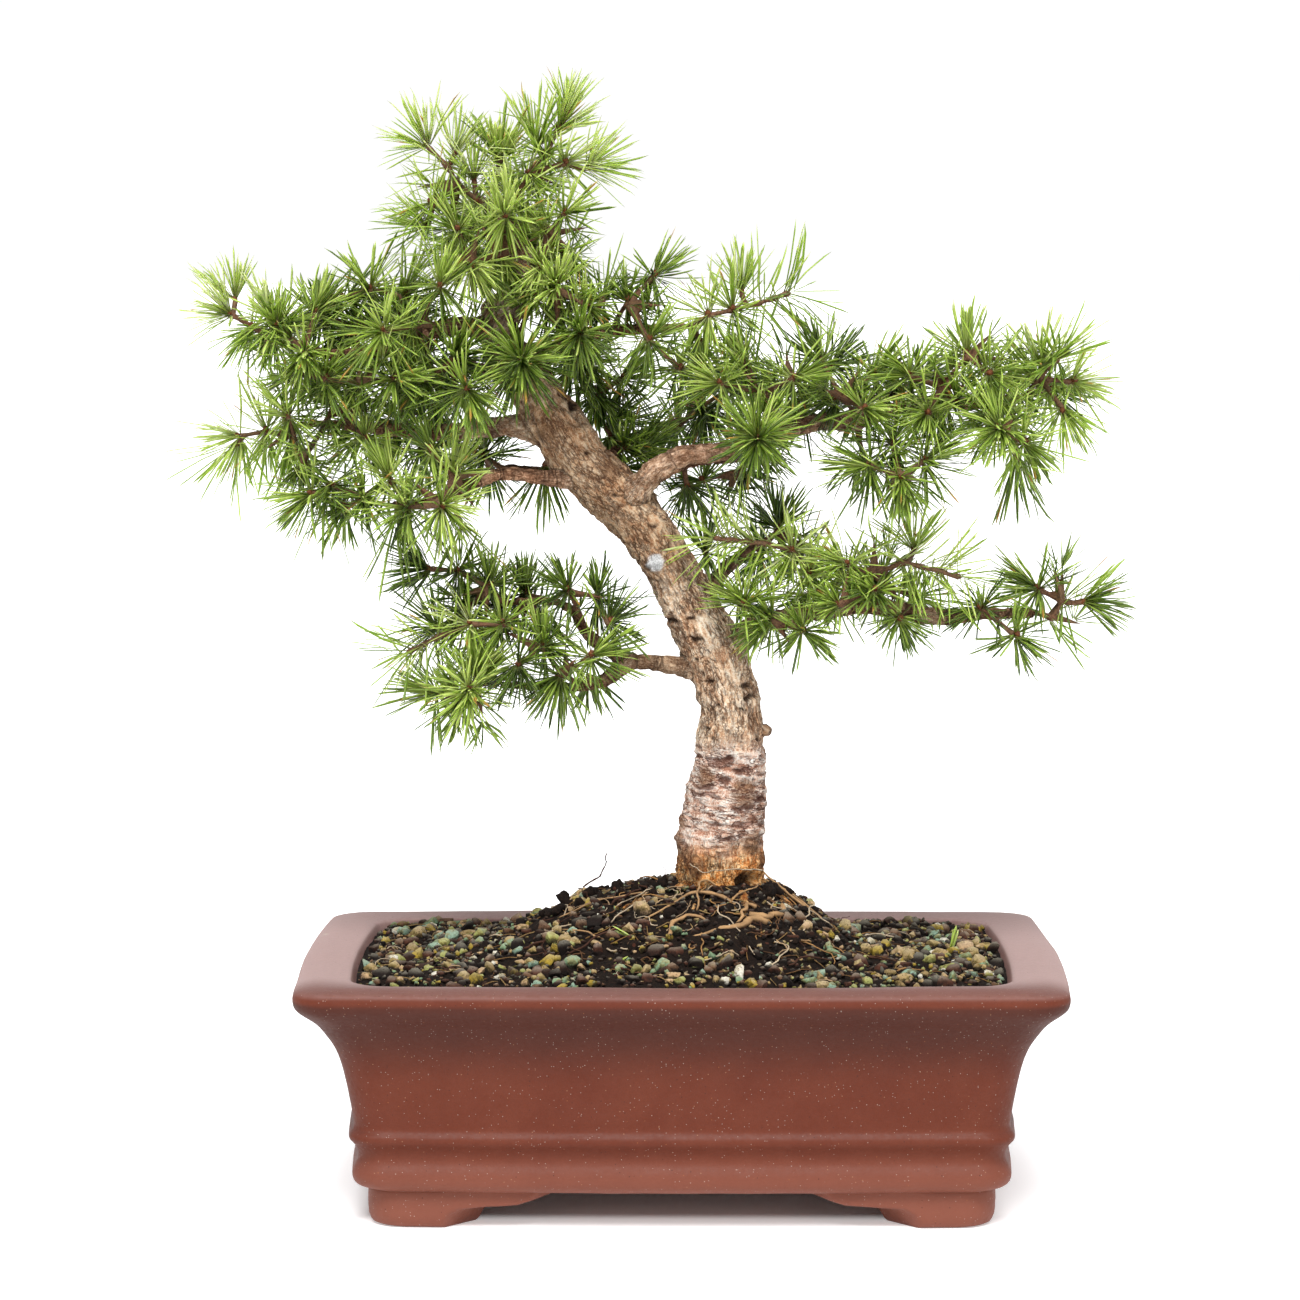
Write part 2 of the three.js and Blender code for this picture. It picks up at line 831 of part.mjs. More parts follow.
function soilHeight(x, y) {
  const spread = x < MOUND_X ? MOUND_LEFT : MOUND_RIGHT;
  const away = Math.hypot((x - MOUND_X) / spread, y / MOUND_DEPTH);
  const dome = (1 - (x / RIM_HALF_LENGTH) ** 2) * (1 - (y / RIM_HALF_DEPTH) ** 2);
  const mound = 1 - smoothStep((away - MOUND_TOP) / MOUND_REACH);
  return SOIL_EDGE + SOIL_CROWN * dome + MOUND_HEIGHT * mound;
}

function buildSoil(trunkAndRoots) {
  const random = randomSource(SEED + 1);
  const wall = CAVITY_PROFILE.map(([z, inset]) => [z, inset + GAP]);
  const rings = wall
    .slice(0, -2)
    .map(([z, inset], i) => potOutline(inset, MOUTH_CORNER, i === 0 ? z + GAP : z));
  const edge = potOutline(MOUTH_INSET + 1, MOUTH_CORNER, 0);
  const middle = vec(MOUND_X, 0, 0);
  for (let ring = 0; ring < SOIL_RINGS; ring += 1) {
    const share = ring / SOIL_RINGS;
    rings.push(edge.map((point, i) => {
      const turn = ring % 2 ? 0.5 : 0;
      const next = edge[(i + 1) % edge.length];
      const outer = point.clone().lerp(next, turn);
      const place = outer.lerp(middle, share);
      const grain = ring === 0 ? 0 : (random() - 0.5) * 2 * GRAIN_RELIEF;
      return vec(place.x, place.y, soilHeight(place.x, place.y) + grain);
    }));
  }
  let soil = solidOf(loft(rings)).subtract(trunkAndRoots);
  for (const x of [-HOLE_X, HOLE_X]) {
    const size = SCREEN_SIZE + 4 * GAP;
    const depth = SCREEN_THICKNESS + 2 * WIRE_RADIUS + 4 * GAP;
    const recess = new THREE.BoxGeometry(size, size, 2 * depth);
    recess.translate(x, 0, POT_FLOOR);
    soil = soil.subtract(solidOf(recess));
  }
  return soil;
}

// ---------------------------------------------------------------- wood

function rootRows([degrees, reach, radius], random) {
  const angle = THREE.MathUtils.degToRad(degrees);
  const bend = (random() - 0.5) * 2 * ROOT_WANDER;
  return Array.from({ length: ROOT_STEPS + 1 }, (_, step) => {
    const share = step / ROOT_STEPS;
    const out = THREE.MathUtils.lerp(ROOT_START, reach, share);
    const aside = bend * Math.sin(share * Math.PI * 1.5);
    const x = MOUND_X + out * Math.cos(angle) - aside * Math.sin(angle);
    const y = out * Math.sin(angle) + aside * Math.cos(angle);
    const thickness = radius * (1 - ROOT_TAPER * share);
    const lift = thickness * ROOT_LIFT - ROOT_DIP * share ** 2;
    return [x, y, soilHeight(x, y) + lift, thickness];
  });
}

function buildWood() {
  const random = randomSource(SEED + 2);
  const roots = ROOTS.map((root) => rootRows(root, random));
  const trunk = tube(TRUNK, TRUNK_SIDES);
  const limbs = Object.values(LIMBS).map((rows) => tube(rows, LIMB_SIDES));
  const rootTubes = roots.map((rows) => tube(rows, ROOT_SIDES));
  const wood = joined([trunk, ...limbs, ...rootTubes].map(solidOf));
  const foot = tube(TRUNK.slice(0, 4), TRUNK_SIDES, GAP);
  foot.translate(0, 0, -GAP);
  const hollows = [foot, ...roots.map((rows) => tube(rows, ROOT_SIDES, GAP))];
  return { wood, bed: joined(hollows.map(solidOf)) };
}

// ---------------------------------------------------------------- sprays

// A spine is a thin cone from a to b that keeps its distance from others.
function spine(a, b, ra, rb, owner, station) {
  return {
    a,
    b,
    ra,
    rb,
    owner,
    station,
    middle: a.clone().add(b).multiplyScalar(0.5),
    reach: a.distanceTo(b) / 2 + Math.max(ra, rb),
  };
}

// Clear distance between two spines, less than zero where they cross.
function clearance(one, other) {
  const apart = one.middle.distanceTo(other.middle) - one.reach - other.reach;
  if (apart > NEEDLE_CLEARANCE) {
    return apart;
  }
  const d1 = one.b.clone().sub(one.a);
  const d2 = other.b.clone().sub(other.a);
  const between = one.a.clone().sub(other.a);
  const a = Math.max(d1.dot(d1), 1e-9);
  const e = Math.max(d2.dot(d2), 1e-9);
  const b = d1.dot(d2);
  const c = d1.dot(between);
  const f = d2.dot(between);
  const spread = a * e - b * b;
  const clamp = THREE.MathUtils.clamp;
  let s = spread > 1e-9 ? clamp((b * f - c * e) / spread, 0, 1) : 0;
  let t = (b * s + f) / e;
  if (t < 0 || t > 1) {
    t = clamp(t, 0, 1);
    s = clamp((b * t - c) / a, 0, 1);
  }
  const gap = between.addScaledVector(d1, s).addScaledVector(d2, -t).length();
  return gap - THREE.MathUtils.lerp(one.ra, one.rb, s) - THREE.MathUtils.lerp(other.ra, other.rb, t);
}

// The twigs of one spray, each a row of stations from its foot to its tip. A
// new bud lengthens the twig that ends nearest, or forks off the nearest bud.
function layOutTwigs(spray) {
  const limb = spray.limb === "trunk" ? TRUNK : LIMBS[spray.limb];
  const start = pointAlong(limb, spray.at);
  const buds = spray.buds.map((bud) => ({ place: vec(...bud), kind: "bud" }));
  const out = start.along.clone();
  let seat = GAP;
  if (spray.at < 1) {
    out.copy(buds[0].place).sub(start.place).projectOnPlane(start.along).normalize();
    seat = start.radius + GAP;
  }
  const foot = { place: start.place.clone().addScaledVector(out, seat), kind: "foot" };
  const collar = { place: foot.place.clone().addScaledVector(out, COLLAR), kind: "collar" };
  const twigs = [[foot, collar, buds[0]]];
  for (const bud of buds.slice(1)) {
    const distance = (station) => station.place.distanceTo(bud.place);
    const grown = twigs.flat().filter((station) => station.kind === "bud");
    const nearest = grown.reduce((best, station) => (
      distance(station) < distance(best) ? station : best
    ));
    const twig = twigs.find((places) => places[places.length - 1] === nearest);
    if (twig && turnCosine(twig, bud) > SHARPEST_TURN) {
      twig.push(bud);
    } else {
      twigs.push([{ place: nearest.place, kind: "fork" }, bud]);
    }
  }
  if (spray.shoot) {
    const last = buds[buds.length - 1];
    const twig = twigs.find((places) => places[places.length - 1] === last);
    const tip = vec(...spray.shoot);
    const whorls = Math.max(1, Math.round(last.place.distanceTo(tip) / WHORL_SPACING));
    for (let i = 1; i <= whorls; i += 1) {
      twig.push({ place: last.place.clone().lerp(tip, i / whorls), kind: "whorl" });
    }
  }
  return twigs;
}

function turnCosine(twig, bud) {
  const [before, last] = twig.slice(-2);
  const inward = last.place.clone().sub(before.place).normalize();
  return inward.dot(bud.place.clone().sub(last.place).normalize());
}

// The rings of a twig. Each bud or whorl is a swelling with a neck on either
// side, and the last one closes to a point.
function twigRings(twig) {
  const rings = [];
  twig.forEach((station, i) => {
    const before = twig[Math.max(i - 1, 0)].place;
    const after = twig[Math.min(i + 1, twig.length - 1)].place;
    const inward = station.place.clone().sub(before).normalize();
    const outward = i < twig.length - 1
      ? after.clone().sub(station.place).normalize()
      : inward.clone();
    const ring = (offset, way, radius) => ({
      place: station.place.clone().addScaledVector(way, offset),
      radius,
      station,
    });
    if (station.kind === "bud" || station.kind === "whorl") {
      const swelling = station.kind === "bud" ? BUD_RADIUS : WHORL_RADIUS;
      rings.push(ring(-BUD_HALF_LENGTH, inward, TWIG_NECK));
      rings.push({ ...ring(0, inward, swelling), swells: true });
      rings.push(ring(BUD_HALF_LENGTH, outward, i < twig.length - 1 ? TWIG_NECK : 0));
    } else {
      rings.push(ring(0, outward, station.kind === "fork" ? TWIG_NECK : TWIG_RADIUS));
    }
  });
  return rings;
}

// The faces of a twig, each with its corners, and on a bud's swelling with the
// bud that it belongs to.
function twigFaces(rings) {
  const across = vec(0.31, 0.83, 0.47);
  const circles = rings.map((ring, i) => {
    const before = rings[Math.max(i - 1, 0)].place;
    const after = rings[Math.min(i + 1, rings.length - 1)].place;
    const along = after.clone().sub(before).normalize();
    across.projectOnPlane(along).normalize();
    const other = along.clone().cross(across);
    ring.along = along;
    return Array.from({ length: TWIG_SIDES }, (_, k) => {
      const angle = (2 * Math.PI * (k - i / 2)) / TWIG_SIDES;
      return ring.place
        .clone()
        .addScaledVector(across, Math.cos(angle) * ring.radius)
        .addScaledVector(other, Math.sin(angle) * ring.radius);
    });
  });
  const faces = [];
  const end = rings[rings.length - 1].place;
  for (let i = 0; i < rings.length - 1; i += 1) {
    const last = i === rings.length - 2;
    const swelling = [rings[i], rings[i + 1]].find((ring) => ring.swells) ?? null;
    for (let k = 0; k < TWIG_SIDES; k += 1) {
      const next = (k + 1) % TWIG_SIDES;
      const [low, high] = [circles[i], circles[i + 1]];
      faces.push({ corners: [low[k], low[next], last ? end : high[next]], swelling });
      if (!last) {
        faces.push({ corners: [low[k], high[next], high[k]], swelling });
      }
    }
  }
  for (let k = 1; k < TWIG_SIDES - 1; k += 1) {
    const [first, ...rest] = circles[0];
    faces.push({ corners: [first, rest[k], rest[k - 1]], swelling: null });
  }
  return faces;
}

// The faces of a swelling that may grow a needle: those that have an edge on
// its widest ring and don't look along a twig that leaves it.
function needleFaces(faces, twigs) {
  return faces.filter(({ swelling }) => swelling).flatMap((face) => {
    const [a, b, c] = face.corners;
    const place = face.swelling.place;
    const wide = face.corners.filter((corner) => (
      Math.abs(corner.distanceTo(place) - face.swelling.radius) < 1e-6
    ));
    const normal = b.clone().sub(a).cross(c.clone().sub(a)).normalize();
    const middle = a.clone().add(b).add(c).divideScalar(3);
    const shadowed = twigs.some((twig) => twig.some((station, i) => (
      i > 0
      && twig[i - 1].place.distanceTo(place) < 1e-6
      && station.place.clone().sub(place).normalize().dot(normal) > TWIG_SHADOW
    )));
    return wide.length < 2 || shadowed ? [] : [{ face, normal, middle }];
  });
}

function randomTurn(random, size) {
  return vec(random() - 0.5, random() - 0.5, random() - 0.5).multiplyScalar(2 * size);
}

function isBlocked(owner, station, root, tip, obstacles) {
  const whole = spine(root, tip, NEEDLE_ROOT_RADIUS, NEEDLE_TIP_RADIUS);
  const outerRoot = root.clone().lerp(tip, OWN_START);
  const outerRadius = THREE.MathUtils.lerp(NEEDLE_ROOT_RADIUS, NEEDLE_TIP_RADIUS, OWN_START);
  const outer = spine(outerRoot, tip, outerRadius, NEEDLE_TIP_RADIUS);
  return obstacles.some((other) => {
    if (other.station === station || (other.station === "twig" && other.owner === owner)) {
      return clearance(outer, other) < OWN_CLEARANCE;
    }
    return clearance(whole, other) < NEEDLE_CLEARANCE;
  });
}

// Raises one face into a needle, along the first free way near the one that
// it wants, or leaves it flat.
function growNeedle({ face, normal, middle, owner }, random, obstacles) {
  const { station, along } = face.swelling;
  const most = face.isEnd ? END_LEAN : LEAN[station.kind];
  const forward = station.kind === "whorl" || face.isEnd ? 1 : Math.sign(normal.dot(along));
  const wish = normal.clone().addScaledVector(along, random() * most * forward).normalize();
  wish.z -= NEEDLE_DROOP;
  const full = NEEDLE_LENGTH + (random() - 0.5) * 2 * NEEDLE_LENGTH_SPREAD;
  for (let attempt = 0; attempt < AIM_TRIES; attempt += 1) {
    const aim = wish.clone().add(randomTurn(random, AIM_STEP * (attempt + 1))).normalize();
    const length = full * (1 - SHORTENING * attempt);
    const tip = middle.clone().addScaledVector(aim, length);
    if (aim.dot(normal) > STEEPEST && !isBlocked(owner, station, middle, tip, obstacles)) {
      face.tip = tip;
      obstacles.push(
        spine(middle, tip, NEEDLE_ROOT_RADIUS, NEEDLE_TIP_RADIUS, owner, station),
      );
      return;
    }
  }
}

function twigSolid(faces) {
  const points = faces.flatMap(({ corners: [a, b, c], tip }) => (
    tip ? [a, b, tip, b, c, tip, c, a, tip] : [a, b, c]
  ));
  return solidOf(new THREE.BufferGeometry().setFromPoints(points));
}

function stretches(places, radii, owner, station) {
  return places.slice(1).map((place, i) => (
    spine(places[i], place, radii[i], radii[i + 1], owner, station)
  ));
}

// Lays out every spray first, so that each needle knows all the wood, twigs
// and buds, then grows the needles in a shuffled order.
function buildSprays() {
  const random = randomSource(SEED);
  const obstacles = [TRUNK, ...Object.values(LIMBS)].flatMap((rows) => stretches(
    rows.map(([x, y, z]) => vec(x, y, z)),
    rows.map((row) => row[3]),
    "wood",
    "wood",
  ));
  const sprays = [];
  const needles = [];
  for (const [name, spray] of Object.entries(SPRAYS)) {
    const twigs = layOutTwigs(spray);
    const skins = twigs.map((twig) => {
      const rings = twigRings(twig);
      for (const ring of rings.filter(({ swells }) => swells)) {
        obstacles.push(
          spine(ring.place, ring.place, ring.radius, ring.radius, name, ring.station),
        );
      }
      const places = twig.map(({ place }) => place);
      obstacles.push(...stretches(places, places.map(() => TWIG_RADIUS), name, "twig"));
      const faces = twigFaces(rings);
      const tip = rings[rings.length - 1].place;
      faces.forEach((face) => {
        face.isEnd = face.corners.includes(tip);
      });
      needles.push(...needleFaces(faces, twigs).map((needle) => (
        { ...needle, owner: name, order: random() }
      )));
      return faces;
    });
    sprays.push({ name, skins, young: Boolean(spray.shoot) });
  }
  needles.sort((one, other) => one.order - other.order);
  for (const needle of needles) {
    growNeedle(needle, random, obstacles);
  }
  return sprays.map(({ name, skins, young }) => (
    { name: `spray_${name}`, solid: joined(skins.map(twigSolid)), young }
  ));
}

// ---------------------------------------------------------------- the tree

function finish(color, roughness) {
  return new THREE.MeshStandardMaterial({ color, roughness, metalness: 0 });
}

const STONEWARE = finish("#7b4332", 0.6);
const SOIL = finish("#3a2c20", 0.95);
const BARK = finish("#9a8068", 0.9);
const MATURE_NEEDLES = finish("#4d7a34", 0.5);
const YOUNG_NEEDLES = finish("#7fae45", 0.5);
const SCREEN_PLASTIC = finish("#1d1f1e", 0.6);
const WIRE = new THREE.MeshStandardMaterial({ color: "#8f7d6b", roughness: 0.4, metalness: 1 });

function piece(name, solid, material) {
  const mesh = new THREE.Mesh(geometryOf(solid), material);
  mesh.name = name;
  return mesh;
}

const { wood, bed } = buildWood();
const tree = new THREE.Group();
tree.add(piece("pot", buildPot(), STONEWARE));
tree.add(piece("soil", buildSoil(bed), SOIL));
tree.add(piece("trunk", wood, BARK));
for (const [side, x] of [["left", -HOLE_X], ["right", HOLE_X]]) {
  tree.add(piece(`screen_${side}`, buildScreen(x), SCREEN_PLASTIC));
  tree.add(piece(`staple_${side}`, buildStaple(x), WIRE));
}
for (const { name, solid, young } of buildSprays()) {
  tree.add(piece(name, solid, young ? YOUNG_NEEDLES : MATURE_NEEDLES));
}

// The origin is on the ground below the middle of the whole tree's box.
const reach = new THREE.Box3().setFromObject(tree);
const middle = reach.getCenter(vec());
tree.position.set(-middle.x, -middle.y, -reach.min.z);

const bonsai = new THREE.Group();
bonsai.add(tree);

export default bonsai;
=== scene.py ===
# A larch bonsai in an unglazed stoneware pot. Every point is worked out in millimetres from the
# middle of the pot's foot, +X to the right of the tree's front and +Y to its back, and put into
# the frame's metres when its mesh is made. The needles grow where the fixed model has its own.

import math

import bmesh
import bpy
import numpy as np
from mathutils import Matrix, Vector


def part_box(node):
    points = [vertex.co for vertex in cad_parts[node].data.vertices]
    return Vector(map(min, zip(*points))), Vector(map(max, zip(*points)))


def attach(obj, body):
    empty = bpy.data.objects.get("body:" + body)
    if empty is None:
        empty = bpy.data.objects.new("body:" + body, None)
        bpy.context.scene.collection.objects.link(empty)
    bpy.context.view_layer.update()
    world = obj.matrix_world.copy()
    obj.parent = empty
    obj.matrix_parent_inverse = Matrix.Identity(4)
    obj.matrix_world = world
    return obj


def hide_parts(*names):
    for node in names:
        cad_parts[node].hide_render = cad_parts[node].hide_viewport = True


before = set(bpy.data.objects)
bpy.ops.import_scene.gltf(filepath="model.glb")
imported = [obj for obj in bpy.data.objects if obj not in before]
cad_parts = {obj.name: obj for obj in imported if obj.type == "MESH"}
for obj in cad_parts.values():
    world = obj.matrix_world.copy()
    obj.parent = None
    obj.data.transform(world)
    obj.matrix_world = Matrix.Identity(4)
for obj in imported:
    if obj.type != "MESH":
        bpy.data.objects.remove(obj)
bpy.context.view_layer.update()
MM = 0.001
POT_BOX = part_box("pot")
POT_FOOT = np.array([(POT_BOX[0].x + POT_BOX[1].x) / 2, (POT_BOX[0].y + POT_BOX[1].y) / 2, 0.0])
BODY = "root"

# ---- pot sizes

RIM_HALF_LENGTH = 156.2
RIM_HALF_DEPTH = 109.5
END_BOW = 3.7
SIDE_BOW = 3.0
RIM_CORNER = 12.0
MOUTH_CORNER = 16.0
MOUTH_INSET = 23.0
BODY_BOTTOM = 15.5
POT_FLOOR = 25.0
HOLE_X = 62.0
HOLE_RADIUS = 11.0
WALL_PROFILE = [  # height, inset from the rim's edge
    [BODY_BOTTOM, 28], [17, 24.6], [19.2, 22.6], [22.5, 22], [25.5, 22.9], [28, 24.1], [31, 24.3],
    [34, 23], [36.2, 21.3], [38.2, 20.8], [40.2, 21.7], [42.5, 22.8], [55, 20.9], [67, 18.5],
    [75, 15.9], [81.5, 12.2], [86.5, 8.5], [91.2, 3.2], [93.8, 0.9], [96.6, 0.1], [99.2, 0.2],
    [100.8, 1.1], [101.7, 3], [102.5, 6.8], [102.8, 11], [101.8, MOUTH_INSET - 2.5],
    [100.8, MOUTH_INSET - 0.6], [98.5, MOUTH_INSET + 0.6], [91, 27], [63, 29.5], [29, 32.5],
    [POT_FLOOR, 35],
]
FOOT_PROFILE = [[0.3, 31.4], [0.0, 32.4], [1.2, 29.9], [3.5, 28.7], [8.0, 28.2], [14.5, 28.6], [18.0, 28.8]]
FRONT_ARCH = [[28, -3], [28.4, 0], [32, 5.6], [36.5, 8.3], [49, 9.3], [60.5, 10.2], [67, 12.3], [70, 19]]
SIDE_ARCH_SHARE = 0.7
FEET_HALF_LENGTH = 127.9
FEET_HALF_DEPTH = 81.2
FEET_TOP = 17.6
FEET_OUTER = 28.4  # inset of the feet's outer face from the rim's edge
FEET_INNER = 46.9
FEET_LEVELS = np.array([0.0, 0.35, 1.1, 2.4, 4.5, 7.0, 10.0, 14.0, 17.5])
ARCH_TOP = 15.2  # an arch this high runs up inside the body

# ---- soil sizes

SOIL_EDGE = 99.5
SOIL_CROWN = 4.0
MOUND_HEIGHT = 27.5
MOUND_X = 17.0
MOUND_LEFT = 1.5
MOUND_RIGHT = 0.82
MOUND_DEPTH = 0.95
MOUND_TOP = 16.0
MOUND_REACH = 70.0

# ---- wood: x, y, z, radius

TRUNK = [
    [17, 0, 109, 15], [16.6, 0, 125, 19.5], [16.6, 0, 133, 18.9], [16.2, -1, 148, 18.3],
    [17.6, -1, 166, 17.4], [20.1, -2, 185, 15.1], [21, -3, 203, 13.2], [17.5, -3, 217, 13.4],
    [13, -3, 231, 13.4], [5, -3, 246, 12.3], [-3, -3, 261, 11.3], [-11, -2, 275, 11.1],
    [-22, -1, 289, 11.5], [-34, 0, 301, 12.2], [-45, 1, 312, 12.2], [-54, 2, 327, 11.6],
    [-64, 3, 342, 10.2], [-74, 3, 355, 9], [-77, 3, 367, 8], [-70, 3, 379, 6.9], [-66, 3, 390, 5.8],
    [-69, 3, 401, 4.8], [-77, 3, 410, 4],
]
LIMBS = {
    "upper_right": [
        [-24, -3, 291, 5.8], [-17, -9, 300, 5.4], [-10, -12, 307.5, 4.8], [2, -13, 313, 4.2],
        [16, -13, 314.5, 4], [35, -9, 319, 3.8], [56, -1, 326, 3.7], [72, 4, 326, 4.2],
        [89, 7, 331, 3.4], [105, 5, 334, 2.9], [124, 1, 334, 2.4], [141, -3, 337, 1.9],
    ],
    "upper_right_back": [
        [-20, 2, 298, 3.8], [-7, 12, 305, 2.8], [8, 22, 308.5, 2.1], [22, 32, 308, 1.7],
    ],
    "lower_right": [
        [16, -3, 229, 5.6], [24, -8, 236, 5], [33, -12, 242, 4.5], [50, -16, 246, 4],
        [70, -18, 250, 3.8], [87, -16, 249, 3.7], [106, -13, 245, 3.9], [127, -9, 246, 2.8],
        [148, -5, 246, 2],
    ],
    "middle_left": [
        [-40, -2, 303, 4.5], [-57, -8, 303, 3.2], [-76, -13, 305, 2.9], [-92, -15, 299, 3],
        [-106, -15, 293, 2.6], [-120, -13, 292, 2],
    ],
    "high_left": [
        [-54, 2, 321, 6], [-68, 8, 324, 5], [-86, 13, 323, 4.2], [-103, 15, 321, 3.6],
        [-120, 14, 322, 3], [-138, 11, 324, 2.4], [-158, 8, 325, 1.8],
    ],
    "top_left": [
        [-76, 2, 362, 5], [-88, -2, 366, 4.2], [-98, -5, 366, 3.8], [-113, -8, 362, 3.4],
        [-129, -10, 356, 3], [-146, -10, 355, 2.4], [-162, -8, 358, 1.8],
    ],
    "lower_left": [
        [10, -4, 222, 4.4], [-3, -8, 224, 3.8], [-13, -12, 226, 3.5], [-23, -15, 228, 3.4],
        [-33, -15, 233, 3], [-41, -14, 240, 2.5], [-46, -13, 248, 2.2], [-57, -12, 252, 1.9],
        [-72, -12, 251, 1.5],
    ],
    "lower_left_under": [
        [-22, -15, 227, 3], [-33, -17, 219, 2.7], [-46, -17, 216, 2.4], [-60, -16, 216, 2],
        [-76, -15, 217, 1.6],
    ],
    "top_right": [
        [-68, 3, 344, 4.4], [-56, 8, 355, 3.6], [-45, 10, 361, 3.2], [-30, 8, 364, 2.8],
        [-14, 4, 365, 2.4], [2, 1, 366, 2],
    ],
    "back_low": [
        [6, 0, 243, 4.6], [11, 18, 253, 3.8], [20, 38, 263, 3], [34, 58, 271, 2],
    ],
    "back_left_low": [
        [-20, 0, 287, 4.4], [-34, 20, 297, 3.6], [-54, 38, 302, 2.8], [-76, 52, 304, 2],
    ],
    "back_middle": [
        [-36, 2, 303, 4], [-28, 22, 313, 2.7], [-14, 44, 321, 2], [2, 62, 325, 1.5],
    ],
    "back_left": [
        [-60, 4, 335, 4.6], [-72, 26, 343, 3.8], [-88, 48, 347, 3], [-106, 64, 349, 2],
    ],
    "back_top": [
        [-76, 4, 365, 4.2], [-82, 24, 373, 3.4], [-76, 42, 379, 2.6], [-78, 56, 383, 1.8],
    ],
}
ROOTS = [  # direction in degrees, reach, radius
    [-150, 60, 3.2], [-112, 48, 2.8], [-72, 46, 3.6], [-28, 48, 3.2], [30, 42, 2.8], [92, 48, 3],
    [158, 56, 3],
]

# ---- noise and shape helpers


def between(value, low, high):
    """0 up to low, 1 from high on, and smooth in between."""
    share = np.clip((value - low) / (high - low), 0.0, 1.0)
    return share * share * (3.0 - 2.0 * share)


def cell_number(cell, seed):
    """A fixed number from -1 to 1 for each whole-number cell."""
    mixed = cell[:, 0] * 374761393 + cell[:, 1] * 668265263 + cell[:, 2] * 144269504 + seed * 97463477
    mixed = mixed & 0xFFFFFFFF
    mixed = ((mixed ^ (mixed >> 13)) * 1274126177) & 0xFFFFFFFF
    mixed = mixed ^ (mixed >> 16)
    return (mixed & 0xFFFF) / 32767.5 - 1.0


def lumps(points, size, seed=0):
    """Smooth noise from -1 to 1 with bumps of about the given size."""
    scaled = points / size
    corner = np.floor(scaled).astype(np.int64)
    part = scaled - corner
    part = part * part * (3.0 - 2.0 * part)
    total = np.zeros(len(points))
    for number in range(8):
        step = np.array([number & 1, (number >> 1) & 1, number >> 2])
        weight = np.prod(np.where(step, part, 1.0 - part), axis=1)
        total += weight * cell_number(corner + step, seed)
    return total


def rough(points, size, octaves, seed=0):
    """Lumps on lumps, each layer half the size and half the strength."""
    total = np.zeros(len(points))
    for octave in range(octaves):
        total += lumps(points, np.asarray(size) / 2.0**octave, seed + 31 * octave) / 2.0**octave
    return total


def flakes(points, size, seed=0):
    """Cells of about the given size: distance to the middle, to the edge, and a number for each."""
    scaled = points / size
    corner = np.floor(scaled).astype(np.int64)
    nearest = np.full(len(points), 9.0)
    second = np.full(len(points), 9.0)
    chance = np.zeros(len(points))
    for number in range(27):
        cell = corner + np.array([number % 3 - 1, number // 3 % 3 - 1, number // 9 - 1])
        shift = np.stack([cell_number(cell, seed + way) for way in (1, 2, 3)], axis=1)
        distance = np.linalg.norm(scaled - cell - 0.5 - 0.42 * shift, axis=1)
        closer = distance < nearest
        second = np.where(closer, nearest, np.minimum(second, distance))
        chance = np.where(closer, cell_number(cell, seed + 4), chance)
        nearest = np.where(closer, distance, nearest)
    return nearest, second - nearest, chance


def unit(vectors):
    length = np.linalg.norm(vectors, axis=-1, keepdims=True)
    return vectors / np.maximum(length, 1e-9)


def smooth_rows(rows, step):
    """The rows joined by a smooth curve, with a row about every step along it."""
    rows = np.asarray(rows, dtype=float)
    before = np.vstack([2 * rows[0] - rows[1], rows[:-1]])
    after = np.vstack([rows[1:], 2 * rows[-1] - rows[-2]])
    result = []
    for index in range(len(rows) - 1):
        start, end = rows[index], rows[index + 1]
        pull_start = (end - before[index]) / 2.0
        pull_end = (after[index + 1] - start) / 2.0
        count = max(2, int(round(np.linalg.norm((end - start)[:3]) / step)))
        for share in np.arange(count) / count:
            square, cube = share**2, share**3
            row = (2 * cube - 3 * square + 1) * start + (cube - 2 * square + share) * pull_start
            result.append(row + (3 * square - 2 * cube) * end + (cube - square) * pull_end)
    result.append(rows[-1])
    return np.array(result)


def carried_frames(centres):
    """The direction along a line of points and two square to it that turn as little as they can."""
    ahead = unit(np.gradient(centres, axis=0))
    start = np.array([0.0, -1.0, 0.0]) if abs(ahead[0, 1]) < 0.9 else np.array([1.0, 0.0, 0.0])
    side = np.zeros_like(ahead)
    current = start
    for index, direction in enumerate(ahead):
        current = current - direction * (current @ direction)
        current = current / np.linalg.norm(current)
        side[index] = current
    return ahead, side, np.cross(ahead, side)


def tube(rows, sides, swell=None):
    """A closed tube of triangles along the rows, with its ends drawn to a point."""
    rows = np.asarray(rows, dtype=float)
    centres, radii = rows[:, :3], rows[:, 3]
    ahead, side, across = carried_frames(centres)
    turns = np.linspace(0, 2 * math.pi, sides, endpoint=False)
    ring = np.cos(turns)[None, :, None] * side[:, None] + np.sin(turns)[None, :, None] * across[:, None]
    reach = radii[:, None] * (np.ones((len(rows), sides)) if swell is None else swell)
    points = (centres[:, None] + ring * reach[..., None]).reshape(-1, 3)
    tips = np.array([centres[0] - ahead[0] * radii[0] * 0.6, centres[-1] + ahead[-1] * radii[-1] * 0.6])
    number = np.arange(len(rows) * sides).reshape(len(rows), sides)
    beside = np.roll(number, -1, axis=1)
    walls = grid_triangles(number[:-1], beside[:-1], beside[1:], number[1:])
    first, last = len(points), len(points) + 1
    start_cap = np.stack([beside[0], number[0], np.full(sides, first)], axis=1)
    end_cap = np.stack([number[-1], beside[-1], np.full(sides, last)], axis=1)
    return np.vstack([points, tips]), np.vstack([walls, start_cap, end_cap])


